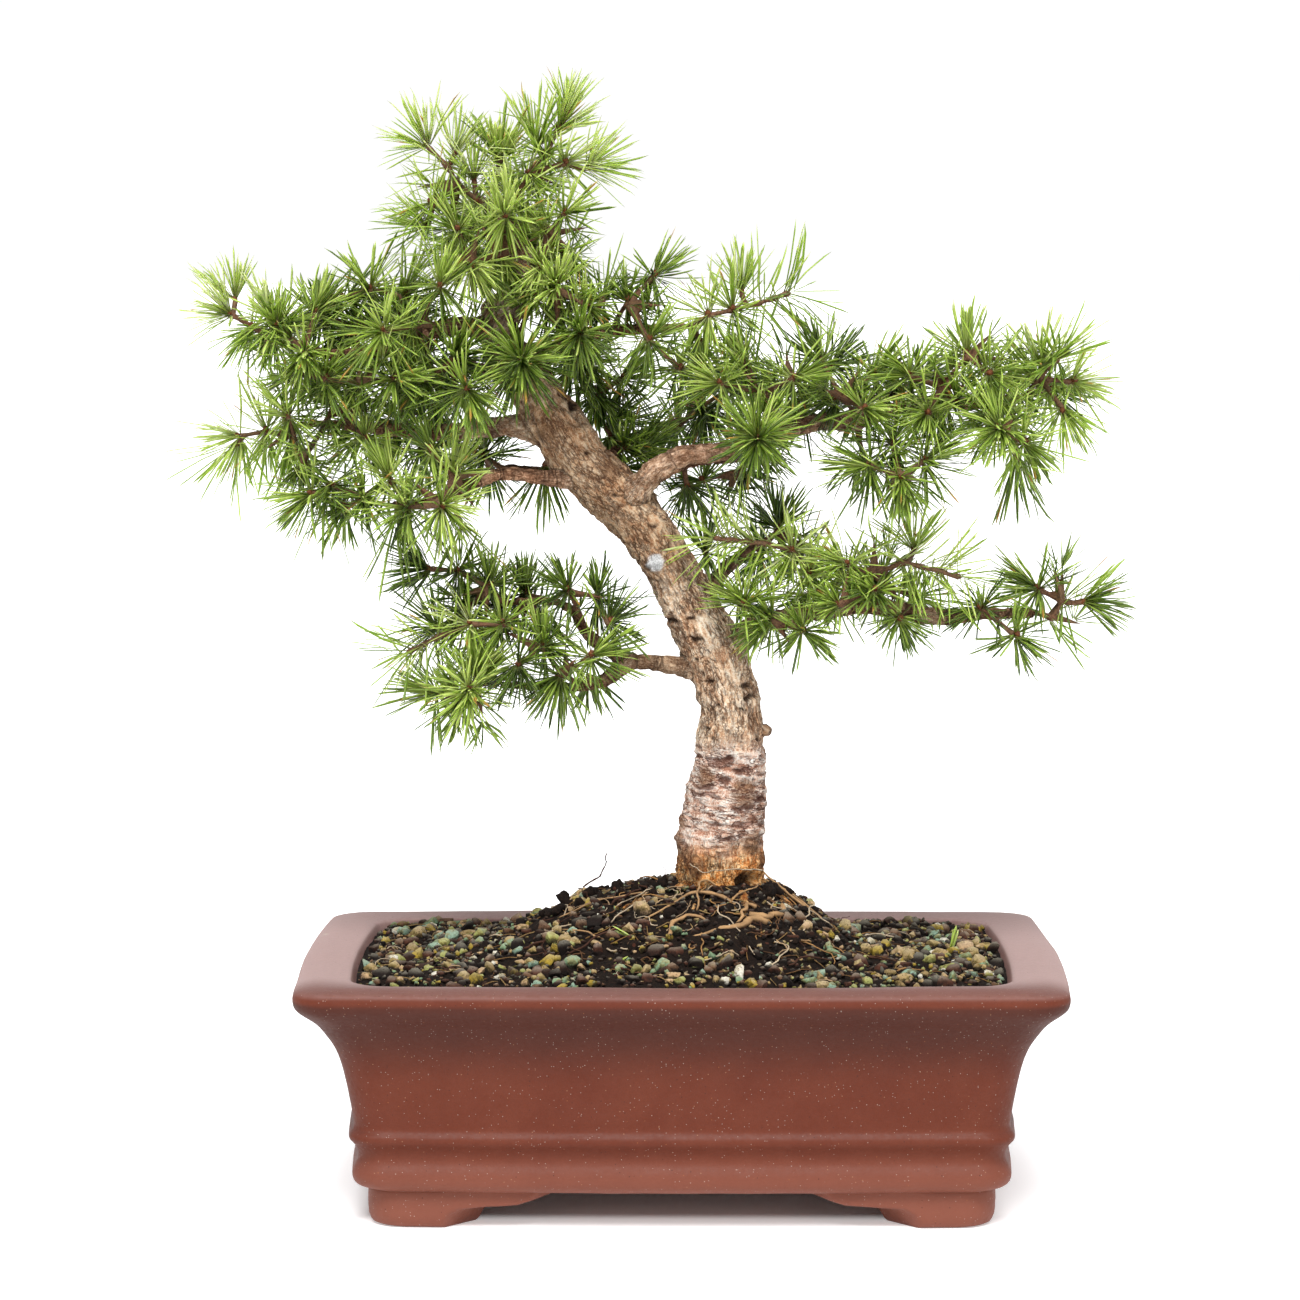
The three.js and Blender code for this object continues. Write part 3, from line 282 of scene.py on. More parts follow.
def grid_triangles(a, b, c, d):
    """Two triangles for each four-cornered patch of a grid of point numbers."""
    a, b, c, d = (corner.ravel() for corner in (a, b, c, d))
    return np.vstack([np.stack([a, b, c], axis=1), np.stack([a, c, d], axis=1)])


def together(parts):
    """Many (points, faces) as one, and which part each point came from."""
    points, faces, owners, start = [], [], [], 0
    for owner, (part_points, part_faces) in enumerate(parts):
        points.append(part_points)
        faces.append(np.asarray(part_faces) + start)
        owners.append(np.full(len(part_points), owner))
        start += len(part_points)
    return np.vstack(points), np.vstack(faces), np.concatenate(owners)


# ---- mesh helpers


def new_mesh(name, points, faces):
    """A mesh in metres from points in millimetres and faces that all have the same number of corners."""
    faces = np.asarray(faces, dtype=np.int32)
    mesh = bpy.data.meshes.new(name)
    mesh.vertices.add(len(points))
    mesh.vertices.foreach_set("co", (np.asarray(points) * MM + POT_FOOT).ravel())
    mesh.loops.add(faces.size)
    mesh.loops.foreach_set("vertex_index", faces.ravel())
    mesh.polygons.add(len(faces))
    mesh.polygons.foreach_set("loop_start", np.arange(0, faces.size, faces.shape[1], dtype=np.int32))
    mesh.update(calc_edges=True)
    mesh.validate()
    return mesh


def mesh_points(mesh):
    """The mesh's points in millimetres from the pot's foot."""
    flat = np.empty(len(mesh.vertices) * 3)
    mesh.vertices.foreach_get("co", flat)
    return (flat.reshape(-1, 3) - POT_FOOT) / MM


def set_points(mesh, points):
    mesh.vertices.foreach_set("co", (points * MM + POT_FOOT).ravel())
    mesh.update()


def mesh_normals(mesh):
    flat = np.empty(len(mesh.vertices) * 3, dtype=np.float32)
    mesh.vertex_normals.foreach_get("vector", flat)
    return flat.reshape(-1, 3).astype(float)


def mesh_corners(mesh, count):
    """The point numbers of every face, for a mesh whose faces all have the same count of corners."""
    corners = np.empty(len(mesh.loops), dtype=np.int32)
    mesh.loops.foreach_get("vertex_index", corners)
    return corners.reshape(-1, count)


def new_object(name, data):
    made = bpy.data.objects.new(name, data)
    bpy.context.scene.collection.objects.link(made)
    return made


def worked(mesh, *modifiers):
    """The mesh after modifiers, each given as (kind, settings)."""
    blank = new_object("blank", mesh)
    for kind, settings in modifiers:
        modifier = blank.modifiers.new(kind, kind)
        for setting, value in settings.items():
            setattr(modifier, setting, value)
    bpy.context.view_layer.update()
    seen = blank.evaluated_get(bpy.context.evaluated_depsgraph_get())
    result = bpy.data.meshes.new_from_object(seen)
    bpy.data.objects.remove(blank)
    return result


def make_piece(name, mesh, material, nodes=(), marks=None, smooth=True):
    """One shown piece: its marks, material, finish slot, and the fixed solids that it stands for."""
    for mark, values in (marks or {}).items():
        values = np.asarray(values, dtype=np.float32)
        kind, key = ("FLOAT_VECTOR", "vector") if values.ndim == 2 else ("FLOAT", "value")
        layer = mesh.attributes.new(mark, kind, "POINT")
        layer.data.foreach_set(key, values.ravel())
    if smooth:
        mesh.shade_smooth()
    else:
        mesh.shade_flat()
    mesh.materials.clear()
    mesh.materials.append(material)
    piece = new_object(name, mesh)
    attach(piece, BODY)
    if nodes:
        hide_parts(*nodes)


# ---- material helpers


STUDIO_GAIN = 1.55


def paint(code, lift=1.0):
    """The shader's colour for a finish that looks like the given screen colour under the studio's lamps."""
    shares = [int(code[start : start + 2], 16) / 255.0 for start in (1, 3, 5)]
    linear = [share / 12.92 if share <= 0.04045 else ((share + 0.055) / 1.055) ** 2.4 for share in shares]
    return (*[value * lift / STUDIO_GAIN for value in linear], 1.0)


def add(tree, kind, inputs=None, **settings):
    """One shader node: its settings, then its inputs as links, screen colours or plain values."""
    made = tree.nodes.new("ShaderNode" + kind)
    for setting, value in settings.items():
        setattr(made, setting, value)
    for socket, value in (inputs or {}).items():
        if isinstance(value, bpy.types.NodeSocket):
            tree.links.new(value, made.inputs[socket])
        else:
            made.inputs[socket].default_value = paint(value) if isinstance(value, str) else value
    return made


def sum_up(tree, operation, first, second=0.0, third=0.0, clamp=False):
    """One sum with numbers or links."""
    return add(tree, "Math", {0: first, 1: second, 2: third}, operation=operation, use_clamp=clamp).outputs[0]


def times(tree, first, second, plus=None, clamp=False):
    """The first times the second, and plus added where there is one."""
    if plus is None:
        return sum_up(tree, "MULTIPLY", first, second)
    return sum_up(tree, "MULTIPLY_ADD", first, second, plus, clamp)


def opposite(tree, share):
    """1 where the share is 0, and 0 where it is 1."""
    return sum_up(tree, "SUBTRACT", 1.0, share)


def mix_colours(tree, share, first, second, blend="MIX"):
    """The first colour where the share is 0, and the second where it is 1."""
    return add(tree, "Mix", {0: share, 6: first, 7: second}, data_type="RGBA", blend_type=blend).outputs[2]


def laid_over(tree, colour, *coats):
    """The colour under one coat after another, each given as its mask, its strength and its colour."""
    for mask, strength, coat in coats:
        colour = mix_colours(tree, times(tree, mask, strength), colour, coat)
    return colour


def ramp(tree, share, stops, steps="LINEAR", lift=1.0):
    """Colours laid out from 0 to 1: stops are (place, colour), with screen colours made lighter by lift."""
    made = add(tree, "ValToRGB", {"Fac": share})
    made.color_ramp.interpolation = steps
    elements = made.color_ramp.elements
    while len(elements) < len(stops):
        elements.new(1.0)
    for element, (spot, colour) in zip(elements, stops):
        element.position = spot
        element.color = paint(colour, lift) if isinstance(colour, str) else colour
    return made.outputs["Color"]


def stretch(tree, value, low, high):
    """The value spread so that low gives 0 and high gives 1."""
    inputs = {"Value": value, "From Min": low, "From Max": high}
    return add(tree, "MapRange", inputs, interpolation_type="SMOOTHSTEP").outputs["Result"]


def mark(tree, name):
    """A number that the mesh carries at each point."""
    return add(tree, "Attribute", attribute_name=name).outputs["Fac"]


def place(tree):
    return add(tree, "TexCoord").outputs["Object"]


def split(tree, vector):
    """The vector's X, Y and Z, by name."""
    return add(tree, "SeparateXYZ", {"Vector": vector}).outputs


def facing_up(tree):
    """1 where the surface faces up, -1 where it faces down."""
    return split(tree, add(tree, "NewGeometry").outputs["Normal"])["Z"]


def noise(tree, where, scale, detail, roughness=0.5):
    inputs = {"Vector": where, "Scale": scale, "Detail": detail, "Roughness": roughness}
    return add(tree, "TexNoise", inputs).outputs["Fac"]


def shared_effect(name, inputs, outputs):
    """An empty node group that starts from a place on the surface, and its two ends."""
    tree = bpy.data.node_groups.new(name, "ShaderNodeTree")
    tree.interface.new_socket("Place", in_out="INPUT", socket_type="NodeSocketVector")
    for label, value in inputs.items():
        tree.interface.new_socket(label, in_out="INPUT", socket_type="NodeSocketFloat").default_value = value
    for label in outputs:
        tree.interface.new_socket(label, in_out="OUTPUT", socket_type="NodeSocketFloat")
    return tree, tree.nodes.new("NodeGroupInput").outputs, tree.nodes.new("NodeGroupOutput").inputs


def make_mottle():
    """Cloudy patches: a broad one and a fine one, each from 0 to 1."""
    inputs = {"Broad": 60.0, "Fine": 600.0}
    tree, given, out = shared_effect("mottle", inputs, ["Broad Patch", "Fine Patch", "Relief"])
    broad = noise(tree, given["Place"], given["Broad"], 3.0, 0.55)
    fine = noise(tree, given["Place"], given["Fine"], 4.0, 0.6)
    tree.links.new(stretch(tree, broad, 0.34, 0.66), out["Broad Patch"])
    tree.links.new(stretch(tree, fine, 0.3, 0.7), out["Fine Patch"])
    tree.links.new(times(tree, broad, 0.5, fine), out["Relief"])
    return tree


def make_specks():
    """Round specks scattered over the surface, 1 on a speck and 0 beside it."""
    inputs = {"Density": 300.0, "Size": 0.2, "Share": 0.2}
    tree, given, out = shared_effect("specks", inputs, ["Speck", "Chance"])
    dots = add(tree, "TexVoronoi", {"Vector": given["Place"], "Scale": given["Density"]})
    parts = add(tree, "SeparateColor", {"Color": dots.outputs["Color"]})
    chosen = sum_up(tree, "LESS_THAN", parts.outputs["Red"], given["Share"])
    near = sum_up(tree, "SUBTRACT", given["Size"], dots.outputs["Distance"])
    tree.links.new(times(tree, chosen, stretch(tree, near, 0.0, 0.06)), out["Speck"])
    tree.links.new(parts.outputs["Green"], out["Chance"])
    return tree


def make_wrinkles():
    """Fine wandering cracks that come and go: 1 in a crack and 0 beside it."""
    tree, given, out = shared_effect("wrinkles", {"Density": 400.0, "Width": 0.04}, ["Crack"])
    run = noise(tree, given["Place"], given["Density"], 2.5, 0.55)
    level = sum_up(tree, "ABSOLUTE", sum_up(tree, "SUBTRACT", run, 0.5))
    line = opposite(tree, stretch(tree, sum_up(tree, "DIVIDE", level, given["Width"]), 0.0, 1.0))
    patch = noise(tree, given["Place"], times(tree, given["Density"], 0.3), 1.0)
    tree.links.new(times(tree, line, stretch(tree, patch, 0.4, 0.6)), out["Crack"])
    return tree


MOTTLE = make_mottle()
SPECKS = make_specks()
WRINKLES = make_wrinkles()


def effect(tree, group, where, inputs):
    """A shared effect set in a material with its own values, and what it puts out."""
    made = add(tree, "Group", node_tree=group)
    tree.links.new(where or place(tree), made.inputs["Place"])
    for socket, value in inputs.items():
        made.inputs[socket].default_value = value
    return list(made.outputs)


def mottle(tree, broad, fine, where=None):
    return effect(tree, MOTTLE, where, {"Broad": broad, "Fine": fine})


def specks(tree, density, size, share, where=None):
    return effect(tree, SPECKS, where, {"Density": density, "Size": size, "Share": share})


def wrinkles(tree, density, width, where):
    return effect(tree, WRINKLES, where, {"Density": density, "Width": width})[0]


def new_material(name, **constants):
    """A material with one Principled shader, whose constants are given with _ for each space."""
    material = bpy.data.materials.new(name)
    material.use_nodes = True
    tree = material.node_tree
    shader = tree.nodes["Principled BSDF"]
    for socket, value in constants.items():
        shader.inputs[socket.replace("_", " ")].default_value = value
    return material, tree, shader


def give_finish(tree, shader, colour, height, distance, strength):
    """The colour, and relief too fine for the mesh: a height of 1 is the distance in metres."""
    tree.links.new(colour, shader.inputs["Base Color"])
    bump = add(tree, "Bump", {"Height": height, "Distance": distance, "Strength": strength})
    tree.links.new(bump.outputs["Normal"], shader.inputs["Normal"])


# ---- needles and twigs

YOUNG_SPRAYS = {
    "crown_left", "crown_right", "top_left_end", "top_right_end", "low_right_shoot", "low_right_far",
    "left_end", "low_left_shoot", "right_end",
}
GROWTH = {  # spray: lighter or darker than its place gives (partly its own green, partly painted shade), length of its needles, how thickly they stand
    "back_left_end": (-0.16, 0.97, 1.2), "back_left_low_end": (-0.1, 0.95, 1),
    "back_low_end": (-0.02, 0.84, 1), "back_middle_end": (0.02, 1, 1.5),
    "back_top_end": (0.08, 0.84, 0.9), "centre_back": (0.06, 1, 1.4), "centre_big": (-0.1, 1.04, 1.3),
    "centre_left": (-0.12, 1, 1.2), "centre_right": (-0.08, 0.94, 1), "crown_back": (0.14, 0.93, 1),
    "crown_back_right": (0.15, 0.86, 0.9), "crown_front": (0.19, 0.95, 1), "crown_left": (0, 0.96, 1),
    "crown_low_right": (0.1, 0.84, 1), "crown_right": (-0.03, 0.95, 1),
    "crown_right_side": (0.16, 0.78, 0.9), "left_above": (0.02, 0.94, 1), "left_back": (-0.06, 0.94, 1),
    "left_end": (-0.03, 0.95, 1), "left_front": (0.03, 0.9, 1), "left_low_end": (-0.06, 0.93, 1),
    "low_left_back": (-0.34, 0.92, 1.1), "low_left_bright": (0.02, 0.95, 1.1),
    "low_left_end": (-0.36, 0.82, 0.9), "low_left_middle": (-0.38, 0.8, 0.9),
    "low_left_shoot": (-0.1, 0.96, 1), "low_left_under": (-0.13, 0.93, 1),
    "low_right_back": (-0.06, 0.84, 1), "low_right_end": (-0.1, 0.98, 1.1),
    "low_right_far": (-0.06, 0.97, 1.2), "low_right_inner": (-0.06, 0.82, 1.1),
    "low_right_outer": (-0.26, 0.78, 0.8), "low_right_shoot": (-0.08, 0.93, 1.1),
    "low_right_under": (-0.08, 0.77, 1), "right_above": (-0.05, 0.8, 1), "right_back": (-0.14, 0.87, 1),
    "right_back_inner": (-0.16, 0.87, 1), "right_big": (-0.18, 0.94, 1.3),
    "right_big_outer": (0, 0.98, 1.2), "right_crest": (0, 0.9, 1), "right_end": (0, 0.93, 1.1),
    "right_end_back": (0.06, 0.92, 1), "right_hanging": (-0.1, 1.03, 1.1),
    "right_inner_end": (-0.1, 0.84, 1), "right_middle": (-0.13, 0.87, 1),
    "top_left_above": (-0.14, 0.93, 1), "top_left_back": (-0.1, 0.89, 1),
    "top_left_below": (-0.04, 0.92, 1), "top_left_big": (-0.03, 0.9, 1.2),
    "top_left_end": (-0.03, 0.92, 1), "top_left_front": (-0.13, 0.98, 1.1),
    "top_right_end": (-0.1, 1.08, 1), "top_right_middle": (-0.13, 0.87, 0.9),
}
LEAST_NEEDLE = 11.0
BUD_REACH = 3.2
WHORL_REACH = 9.4
EXTRA_BUDS = {  # spray: where the spur starts, the bud, the way it faces, its needles' length and number
    "centre_back": [
        [(-27, 27, 317), (-33, 30, 323), (1.2, -0.2, 0.3), 34, 70],
        [(-20, 33, 317), (-18, 34, 314), (1, -0.2, 0), 30, 60],
        [(-29, 20, 312), (-26, 24, 306), (0.9, -0.3, -0.2), 25, 44],
        [(-53, 11, 312), (-58, 16, 308), (-0.2, -0.2, -1.6), 34, 26],
        [(-23, 27, 314), (-20, 27, 311), (0.8, -0.4, 0.3), 26, 50],
        [(-27, 26, 316), (-31, 24, 319), (0.3, -0.6, -0.9), 24, 46],
        [(-29, 20, 312), (-25, 19, 314), (0.6, -0.7, 0.6), 22, 40],
    ],
    "right_inner_end": [[(1, 18, 305), (2, 20, 299), (0.5, -0.2, -0.9), 27, 50]],
    "back_low_end": [
        [(12, 19, 254), (10, 24, 269), (-0.1, -0.3, 0.5), 29, 64],
        [(16, 23, 253), (24, 26, 248), (0.6, -0.4, -0.3), 26, 44],
    ],
    "low_right_far": [[(93, -21, 269), (97, -12, 273), (-0.1, -0.2, 1.2), 26, 50]],
    "low_right_end": [[(161, -4, 251), (168, -4, 251), (1.3, -0.2, 0), 28, 60]],
    "low_left_end": [[(-91, -9, 247), (-103, -4, 240), (-0.9, -0.1, -0.1), 28, 50]],
    "low_left_under": [[(-37, -15, 219), (-39, -8, 220), (-0.1, 0.2, -1.2), 24, 30]],
    "top_right_end": [
        [(27, 0, 375), (25, 10, 380), (-0.1, 0.1, 1.5), 26, 30],
        [(5, 1, 366), (7, 6, 361), (0, -0.2, -0.8), 26, 36],
    ],
    "crown_right": [
        [(-51, 2, 450), (-48, 2, 455), (0.2, 0, 1.5), 22, 26],
        [(-59, 2, 439), (-61, 1, 441), (0.3, -0.2, 1.2), 31, 54],
        [(-48, -8, 434), (-40, -8, 432), (1, -0.2, 0.4), 28, 44],
    ],
    "crown_back": [[(-77, 9, 433), (-76, 6, 436), (0, -0.2, 1.1), 29, 44]],
    "crown_left": [
        [(-86, -1, 420), (-87, 1, 427), (-0.2, -0.2, 1.2), 27, 40],
        [(-97, -2, 434), (-95, -2, 438), (0.5, -0.1, 1.2), 26, 30],
        [(-104, -7, 417), (-106, -8, 408), (-0.8, -0.5, 0.1), 27, 44],
    ],
    "right_crest": [[(110, -9, 340), (114, -15, 336), (0.1, -1, 0.2), 27, 50]],
    "right_end": [[(148, -7, 346), (150, -11, 350), (0.5, -0.6, 0.7), 29, 50]],
    "right_above": [[(27, -6, 350), (29, -7, 344), (0.2, -0.5, -0.9), 26, 40]],
    "left_above": [[(-138, 7, 328), (-141, 11, 338), (-0.1, -0.3, 0.6), 28, 46]],
    "left_back": [[(-116, 17, 324), (-119, 15, 334), (0.1, -0.4, 0.4), 28, 46]],
    "top_left_back": [[(-106, -4, 362), (-107, 3, 352), (0.1, -0.3, -0.8), 29, 46]],
    "left_low_end": [
        [(-120, -13, 293), (-119, -14, 290), (0, -0.1, -1.9), 42, 14],
        [(-147, -17, 301), (-149, -15, 298), (-0.6, -0.1, -1.3), 38, 14],
    ],
    "left_front": [[(-94, -20, 290), (-92, -18, 284), (0.2, 0, -1.5), 36, 12]],
    "left_end": [[(-185, 4, 320), (-187, 2, 317), (-0.9, -0.3, -0.8), 38, 14]],
    "top_left_end": [[(-188, -7, 370), (-187, -3, 377), (-0.3, 0, 1.4), 25, 30]],
    "right_big_outer": [[(138, -2, 334), (141, 4, 313), (0.2, -0.2, -2.2), 36, 18]],
    "right_back": [[(74, 5, 322), (76, 6, 313), (0.1, -0.2, -1.2), 26, 36]],
}
ROSETTE_NEEDLES = {"needles": 82, "young_needles": 60}
FRONT_ROSETTES = {
    "centre_big", "centre_left", "low_left_bright", "right_big", "right_big_outer", "top_left_big",
}
LIGHT_FALL = 0.0044  # painted shade: how much darker a needle is for each millimetre further back
UPWARD_LIGHT = 0.18  # painted light: how much lighter a needle is that points straight up
WHORL_SHARE = 2.2
NEEDLE_WIDTH = {"needles": 1.06, "young_needles": 0.98}
FRONT_WIDTH = 1.18
STATIONS = np.array([0.0, 0.42, 0.84])
STATION_WIDTHS = np.array([0.6, 1.0, 0.92])
SHORT_STATIONS = np.array([0.0, 0.5])
SHORT_WIDTHS = np.array([0.6, 1.0])
BUD_RADIUS = 1.3
TUFT_STEP = 7.5
TUFTS = 13
TUFT_NEEDLES = 9
TUFT_LENGTH = 23.0
TUFT_TRIES = 400
SHORTEST = 0.62  # the shortest needle of a bud, as a share of the longest
WITHERED_SHARE = 0.03


def welded(node):
    """A fixed solid's points in millimetres and its triangles, with points in one place made one."""
    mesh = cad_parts[node].data
    points = mesh_points(mesh)
    keys = np.round(points / 0.01).astype(np.int64)
    _, first, joined = np.unique(keys, axis=0, return_index=True, return_inverse=True)
    mesh.calc_loop_triangles()
    corners = np.empty(len(mesh.loop_triangles) * 3, dtype=np.int32)
    mesh.loop_triangles.foreach_get("vertices", corners)
    return points[first], joined.ravel()[corners].reshape(-1, 3)


def parted(points, triangles):
    """The solid's needles as (foot, tip) rows, and the triangles of its bare twig."""
    near = [set() for _ in points]
    for triangle in triangles:
        for corner in triangle:
            near[corner].update(triangle)
    tips = set()
    for tip, others in enumerate(near):
        others.discard(tip)
        if len(others) == 3:
            away = np.linalg.norm(points[list(others)] - points[tip], axis=1)
            if away.min() > LEAST_NEEDLE:
                tips.add(tip)
    bare, follow = [], {}
    for triangle in triangles:
        row = [int(corner) for corner in triangle]
        tip = next((corner for corner in row if corner in tips), None)
        if tip is None:
            bare.append(row)
            continue
        start = row.index(tip)
        follow.setdefault(tip, {})[row[(start + 1) % 3]] = row[(start + 2) % 3]
    needles = []
    for tip, steps in sorted(follow.items()):
        first = min(steps)
        foot = [first, steps[first], steps[steps[first]]]
        bare.append(foot)
        needles.append([points[foot].mean(axis=0), points[tip]])
    return np.array(needles), np.array(bare)


def gathered(places, reach):
    """A group number for each place: places are in one group when short steps join them."""
    close = np.linalg.norm(places[:, None] - places[None], axis=2) < reach
    group = np.arange(len(places))
    while True:
        lowest = np.where(close, group[None, :], len(places)).min(axis=1)
        if np.array_equal(lowest, group):
            return group
        group = lowest


def rosette(feet, tips, wanted, grown, chance):
    """The needles of one bud: the solid's own, and many more whose directions lie between them."""
    centre = feet.mean(axis=0)
    reach = (tips - centre) * grown
    length = np.linalg.norm(reach, axis=1)
    direction = unit(reach)
    alike = direction @ direction.T
    roots, ends = [centre + direction], [centre + reach]
    for _ in range(wanted - len(tips)):
        first = chance.integers(len(tips))
        nearby = np.argsort(-alike[first])[: min(4, len(tips))]
        share = chance.dirichlet(np.full(len(nearby), 0.8))
        turned = unit(share @ direction[nearby] + chance.normal(0, 0.2, 3))
        reached = (share @ length[nearby]) * chance.uniform(SHORTEST, 1.0)
        root = centre + 1.2 * turned + chance.normal(0, 0.35, 3)
        roots.append(root[None])
        ends.append((centre + turned * reached)[None])
    return np.vstack(roots), np.vstack(ends)


def whorl(feet, tips, along, grown, chance):
    """The needles of a stretch of long shoot: single, one after another round the twig."""
    centre = feet.mean(axis=0)
    reaches = (tips - feet) * grown
    roots, ends = [feet], [feet + reaches]
    for _ in range(int(len(tips) * (WHORL_SHARE - 1))):
        reach = reaches[chance.integers(len(tips))]
        turn = chance.uniform(-0.9, 0.9)
        square = reach - along * (reach @ along)
        turned = square * math.cos(turn) + np.cross(along, square) * math.sin(turn) + along * (reach @ along)
        slide = along * chance.uniform(-4.0, 4.0)
        start = centre + unit(turned) * 0.8 + slide
        roots.append(start[None])
        ends.append((start + turned * chance.uniform(SHORTEST, 1.0))[None])
    return np.vstack(roots), np.vstack(ends)


def needle_mesh(roots, tips, middle, width, brightness, chance, places=STATIONS, widths=STATION_WIDTHS):
    """Bent flat needles with a low ridge and a point, and their marks: tone, along, ridge, withered."""
    count = len(roots)
    reach = tips - roots
    length = np.linalg.norm(reach, axis=1, keepdims=True)
    outward = unit(roots - middle + 1e-6)
    droop = -0.35 * outward + np.array([0.0, 0.0, 0.4]) + chance.normal(0, 0.7, (count, 3))
    ahead = reach / length
    droop = droop - ahead * np.sum(droop * ahead, axis=1, keepdims=True)
    control = (roots + tips) / 2 + droop * length * chance.uniform(0.03, 0.13, (count, 1))
    stations = len(places)
    share = places[None, :, None]
    line = (1 - share) ** 2 * roots[:, None] + 2 * share * (1 - share) * control[:, None]
    line = line + share**2 * tips[:, None]
    tangent = unit((1 - share) * (control - roots)[:, None] + share * (tips - control)[:, None])
    side = np.cross(ahead, unit(np.array([0.0, 0.0, 1.0]) + chance.normal(0, 0.45, (count, 3))))
    side = unit(side)[:, None]
    side = unit(side - tangent * np.sum(side * tangent, axis=2, keepdims=True))
    above = np.cross(side, tangent)
    above = above * np.where(above[:, 1:2, 2:3] < 0, -1.0, 1.0)
    width = width * chance.uniform(0.8, 1.15, (count, 1, 1)) * widths[None, :, None]
    left = line - side * width / 2
    right = line + side * width / 2
    top = line + above * width * 0.34
    points = np.stack([left, right, top], axis=2).reshape(-1, 3)
    number = np.arange(count * stations * 3).reshape(count, stations, 3)
    beside = np.roll(number, -1, axis=2)
    walls = grid_triangles(number[:, :-1], number[:, 1:], beside[:, 1:], beside[:, :-1])
    point = count * stations * 3 + np.arange(count)
    at_point = np.broadcast_to(point[:, None], (count, 3))
    last = np.stack([number[:, -1], at_point, beside[:, -1]], axis=2).reshape(-1, 3)
    handed = np.sum(np.cross(side, above) * tangent, axis=(1, 2)) < 0
    faces = np.vstack([walls, number[:, 0], last])
    turn_over = handed[faces[:, 0] // (stations * 3)]
    faces = np.where(turn_over[:, None], faces[:, ::-1], faces)
    # the tone holds each needle's random green and the painted light and shade it is given
    tone = np.clip(brightness + chance.normal(0, 0.18, count), 0, 1)
    withered = (chance.random(count) < WITHERED_SHARE).astype(float)
    alongside = np.broadcast_to(places[None, :, None], (count, stations, 3)).ravel()
    ridge = np.broadcast_to(np.array([0.0, 0.0, 1.0]), (count, stations, 3)).ravel()
    points = np.vstack([points, tips])
    marks = {
        "tone": np.concatenate([np.repeat(tone, stations * 3), tone]),
        "withered": np.concatenate([np.repeat(withered, stations * 3), withered]),
        "along": np.concatenate([alongside, np.ones(count)]),
        "ridge": np.concatenate([ridge, np.ones(count)]),
    }
    return points, faces, marks


def fan(centre, facing, length, count, chance):
    """The needles of one more bud, spread round the way it faces."""
    ways = unit(np.asarray(facing) + unit(chance.normal(0, 1, (count, 3))))
    reaches = length * chance.uniform(0.66, 1.0, (count, 1))
    return centre + 1.2 * ways, centre + ways * reaches


def tufts(points, normals, taken, grown, chance):
    """Short tufts of needles that sit along the twig between its larger buds."""
    wood = np.vstack([np.array(rows, dtype=float)[:, :3] for rows in (TRUNK, *LIMBS.values())])
    start = points[np.argmin(np.linalg.norm(points[:, None] - wood[None], axis=2).min(axis=1))]
    taken = [*taken, start]
    roots, ends, middles = [], [], []
    for index in chance.permutation(len(points))[:TUFT_TRIES]:
        spot = points[index]
        if len(roots) == TUFTS or np.linalg.norm(np.array(taken) - spot, axis=1).min() < TUFT_STEP:
            continue
        taken.append(spot)
        ahead = unit(spot - start)
        facing = unit(normals[index] + 0.6 * ahead + np.array([0.0, -0.2, 0.15])) * 1.2
        new_roots, new_ends = fan(spot, facing, TUFT_LENGTH * grown, TUFT_NEEDLES, chance)
        roots.append(new_roots)
        ends.append(new_ends)
        middles.append(np.repeat(spot[None] - normals[index], TUFT_NEEDLES, axis=0))
    return roots, ends, middles


def ball(detail):
    """A round body of radius 1, made of 20 triangles at detail 1 and 80 at detail 2."""
    mesh = bpy.data.meshes.new("ball")
    made = bmesh.new()
    bmesh.ops.create_icosphere(made, subdivisions=detail, radius=1.0)
    made.to_mesh(mesh)
    made.free()
    flat = np.empty(len(mesh.vertices) * 3)
    mesh.vertices.foreach_get("co", flat)
    corners = mesh_corners(mesh, 3)
    bpy.data.meshes.remove(mesh)
    return flat.reshape(-1, 3), corners


BALL = ball(2)
SMALL_BALL = ball(1)


def bud(centre, axis, chance):
    """A round resting bud, a little longer than wide, with the edges of its scales."""
    points, faces = BALL
    axis = unit(axis)
    side = unit(np.cross(axis, [0.3, 0.9, 0.2]))
    across = np.cross(axis, side)
    scales = 1.0 + 0.09 * np.sin(points[:, 2] * 9.0 + np.arctan2(points[:, 1], points[:, 0]) * 3.0)
    size = BUD_RADIUS * chance.uniform(0.85, 1.15)
    local = points * scales[:, None] * size
    return centre + local[:, :1] * side + local[:, 1:2] * across + local[:, 2:] * 1.15 * axis, faces


def lit_set(roots, ends, middle, lit):
    """One bud's needles: their roots and ends, the middle they spring from, and how light each is, with
    painted light on needles that point up.
    """
    light = np.full(len(roots), lit) + UPWARD_LIGHT * unit(ends - roots)[:, 2]
    return roots, ends, np.repeat(middle[None], len(roots), axis=0), light


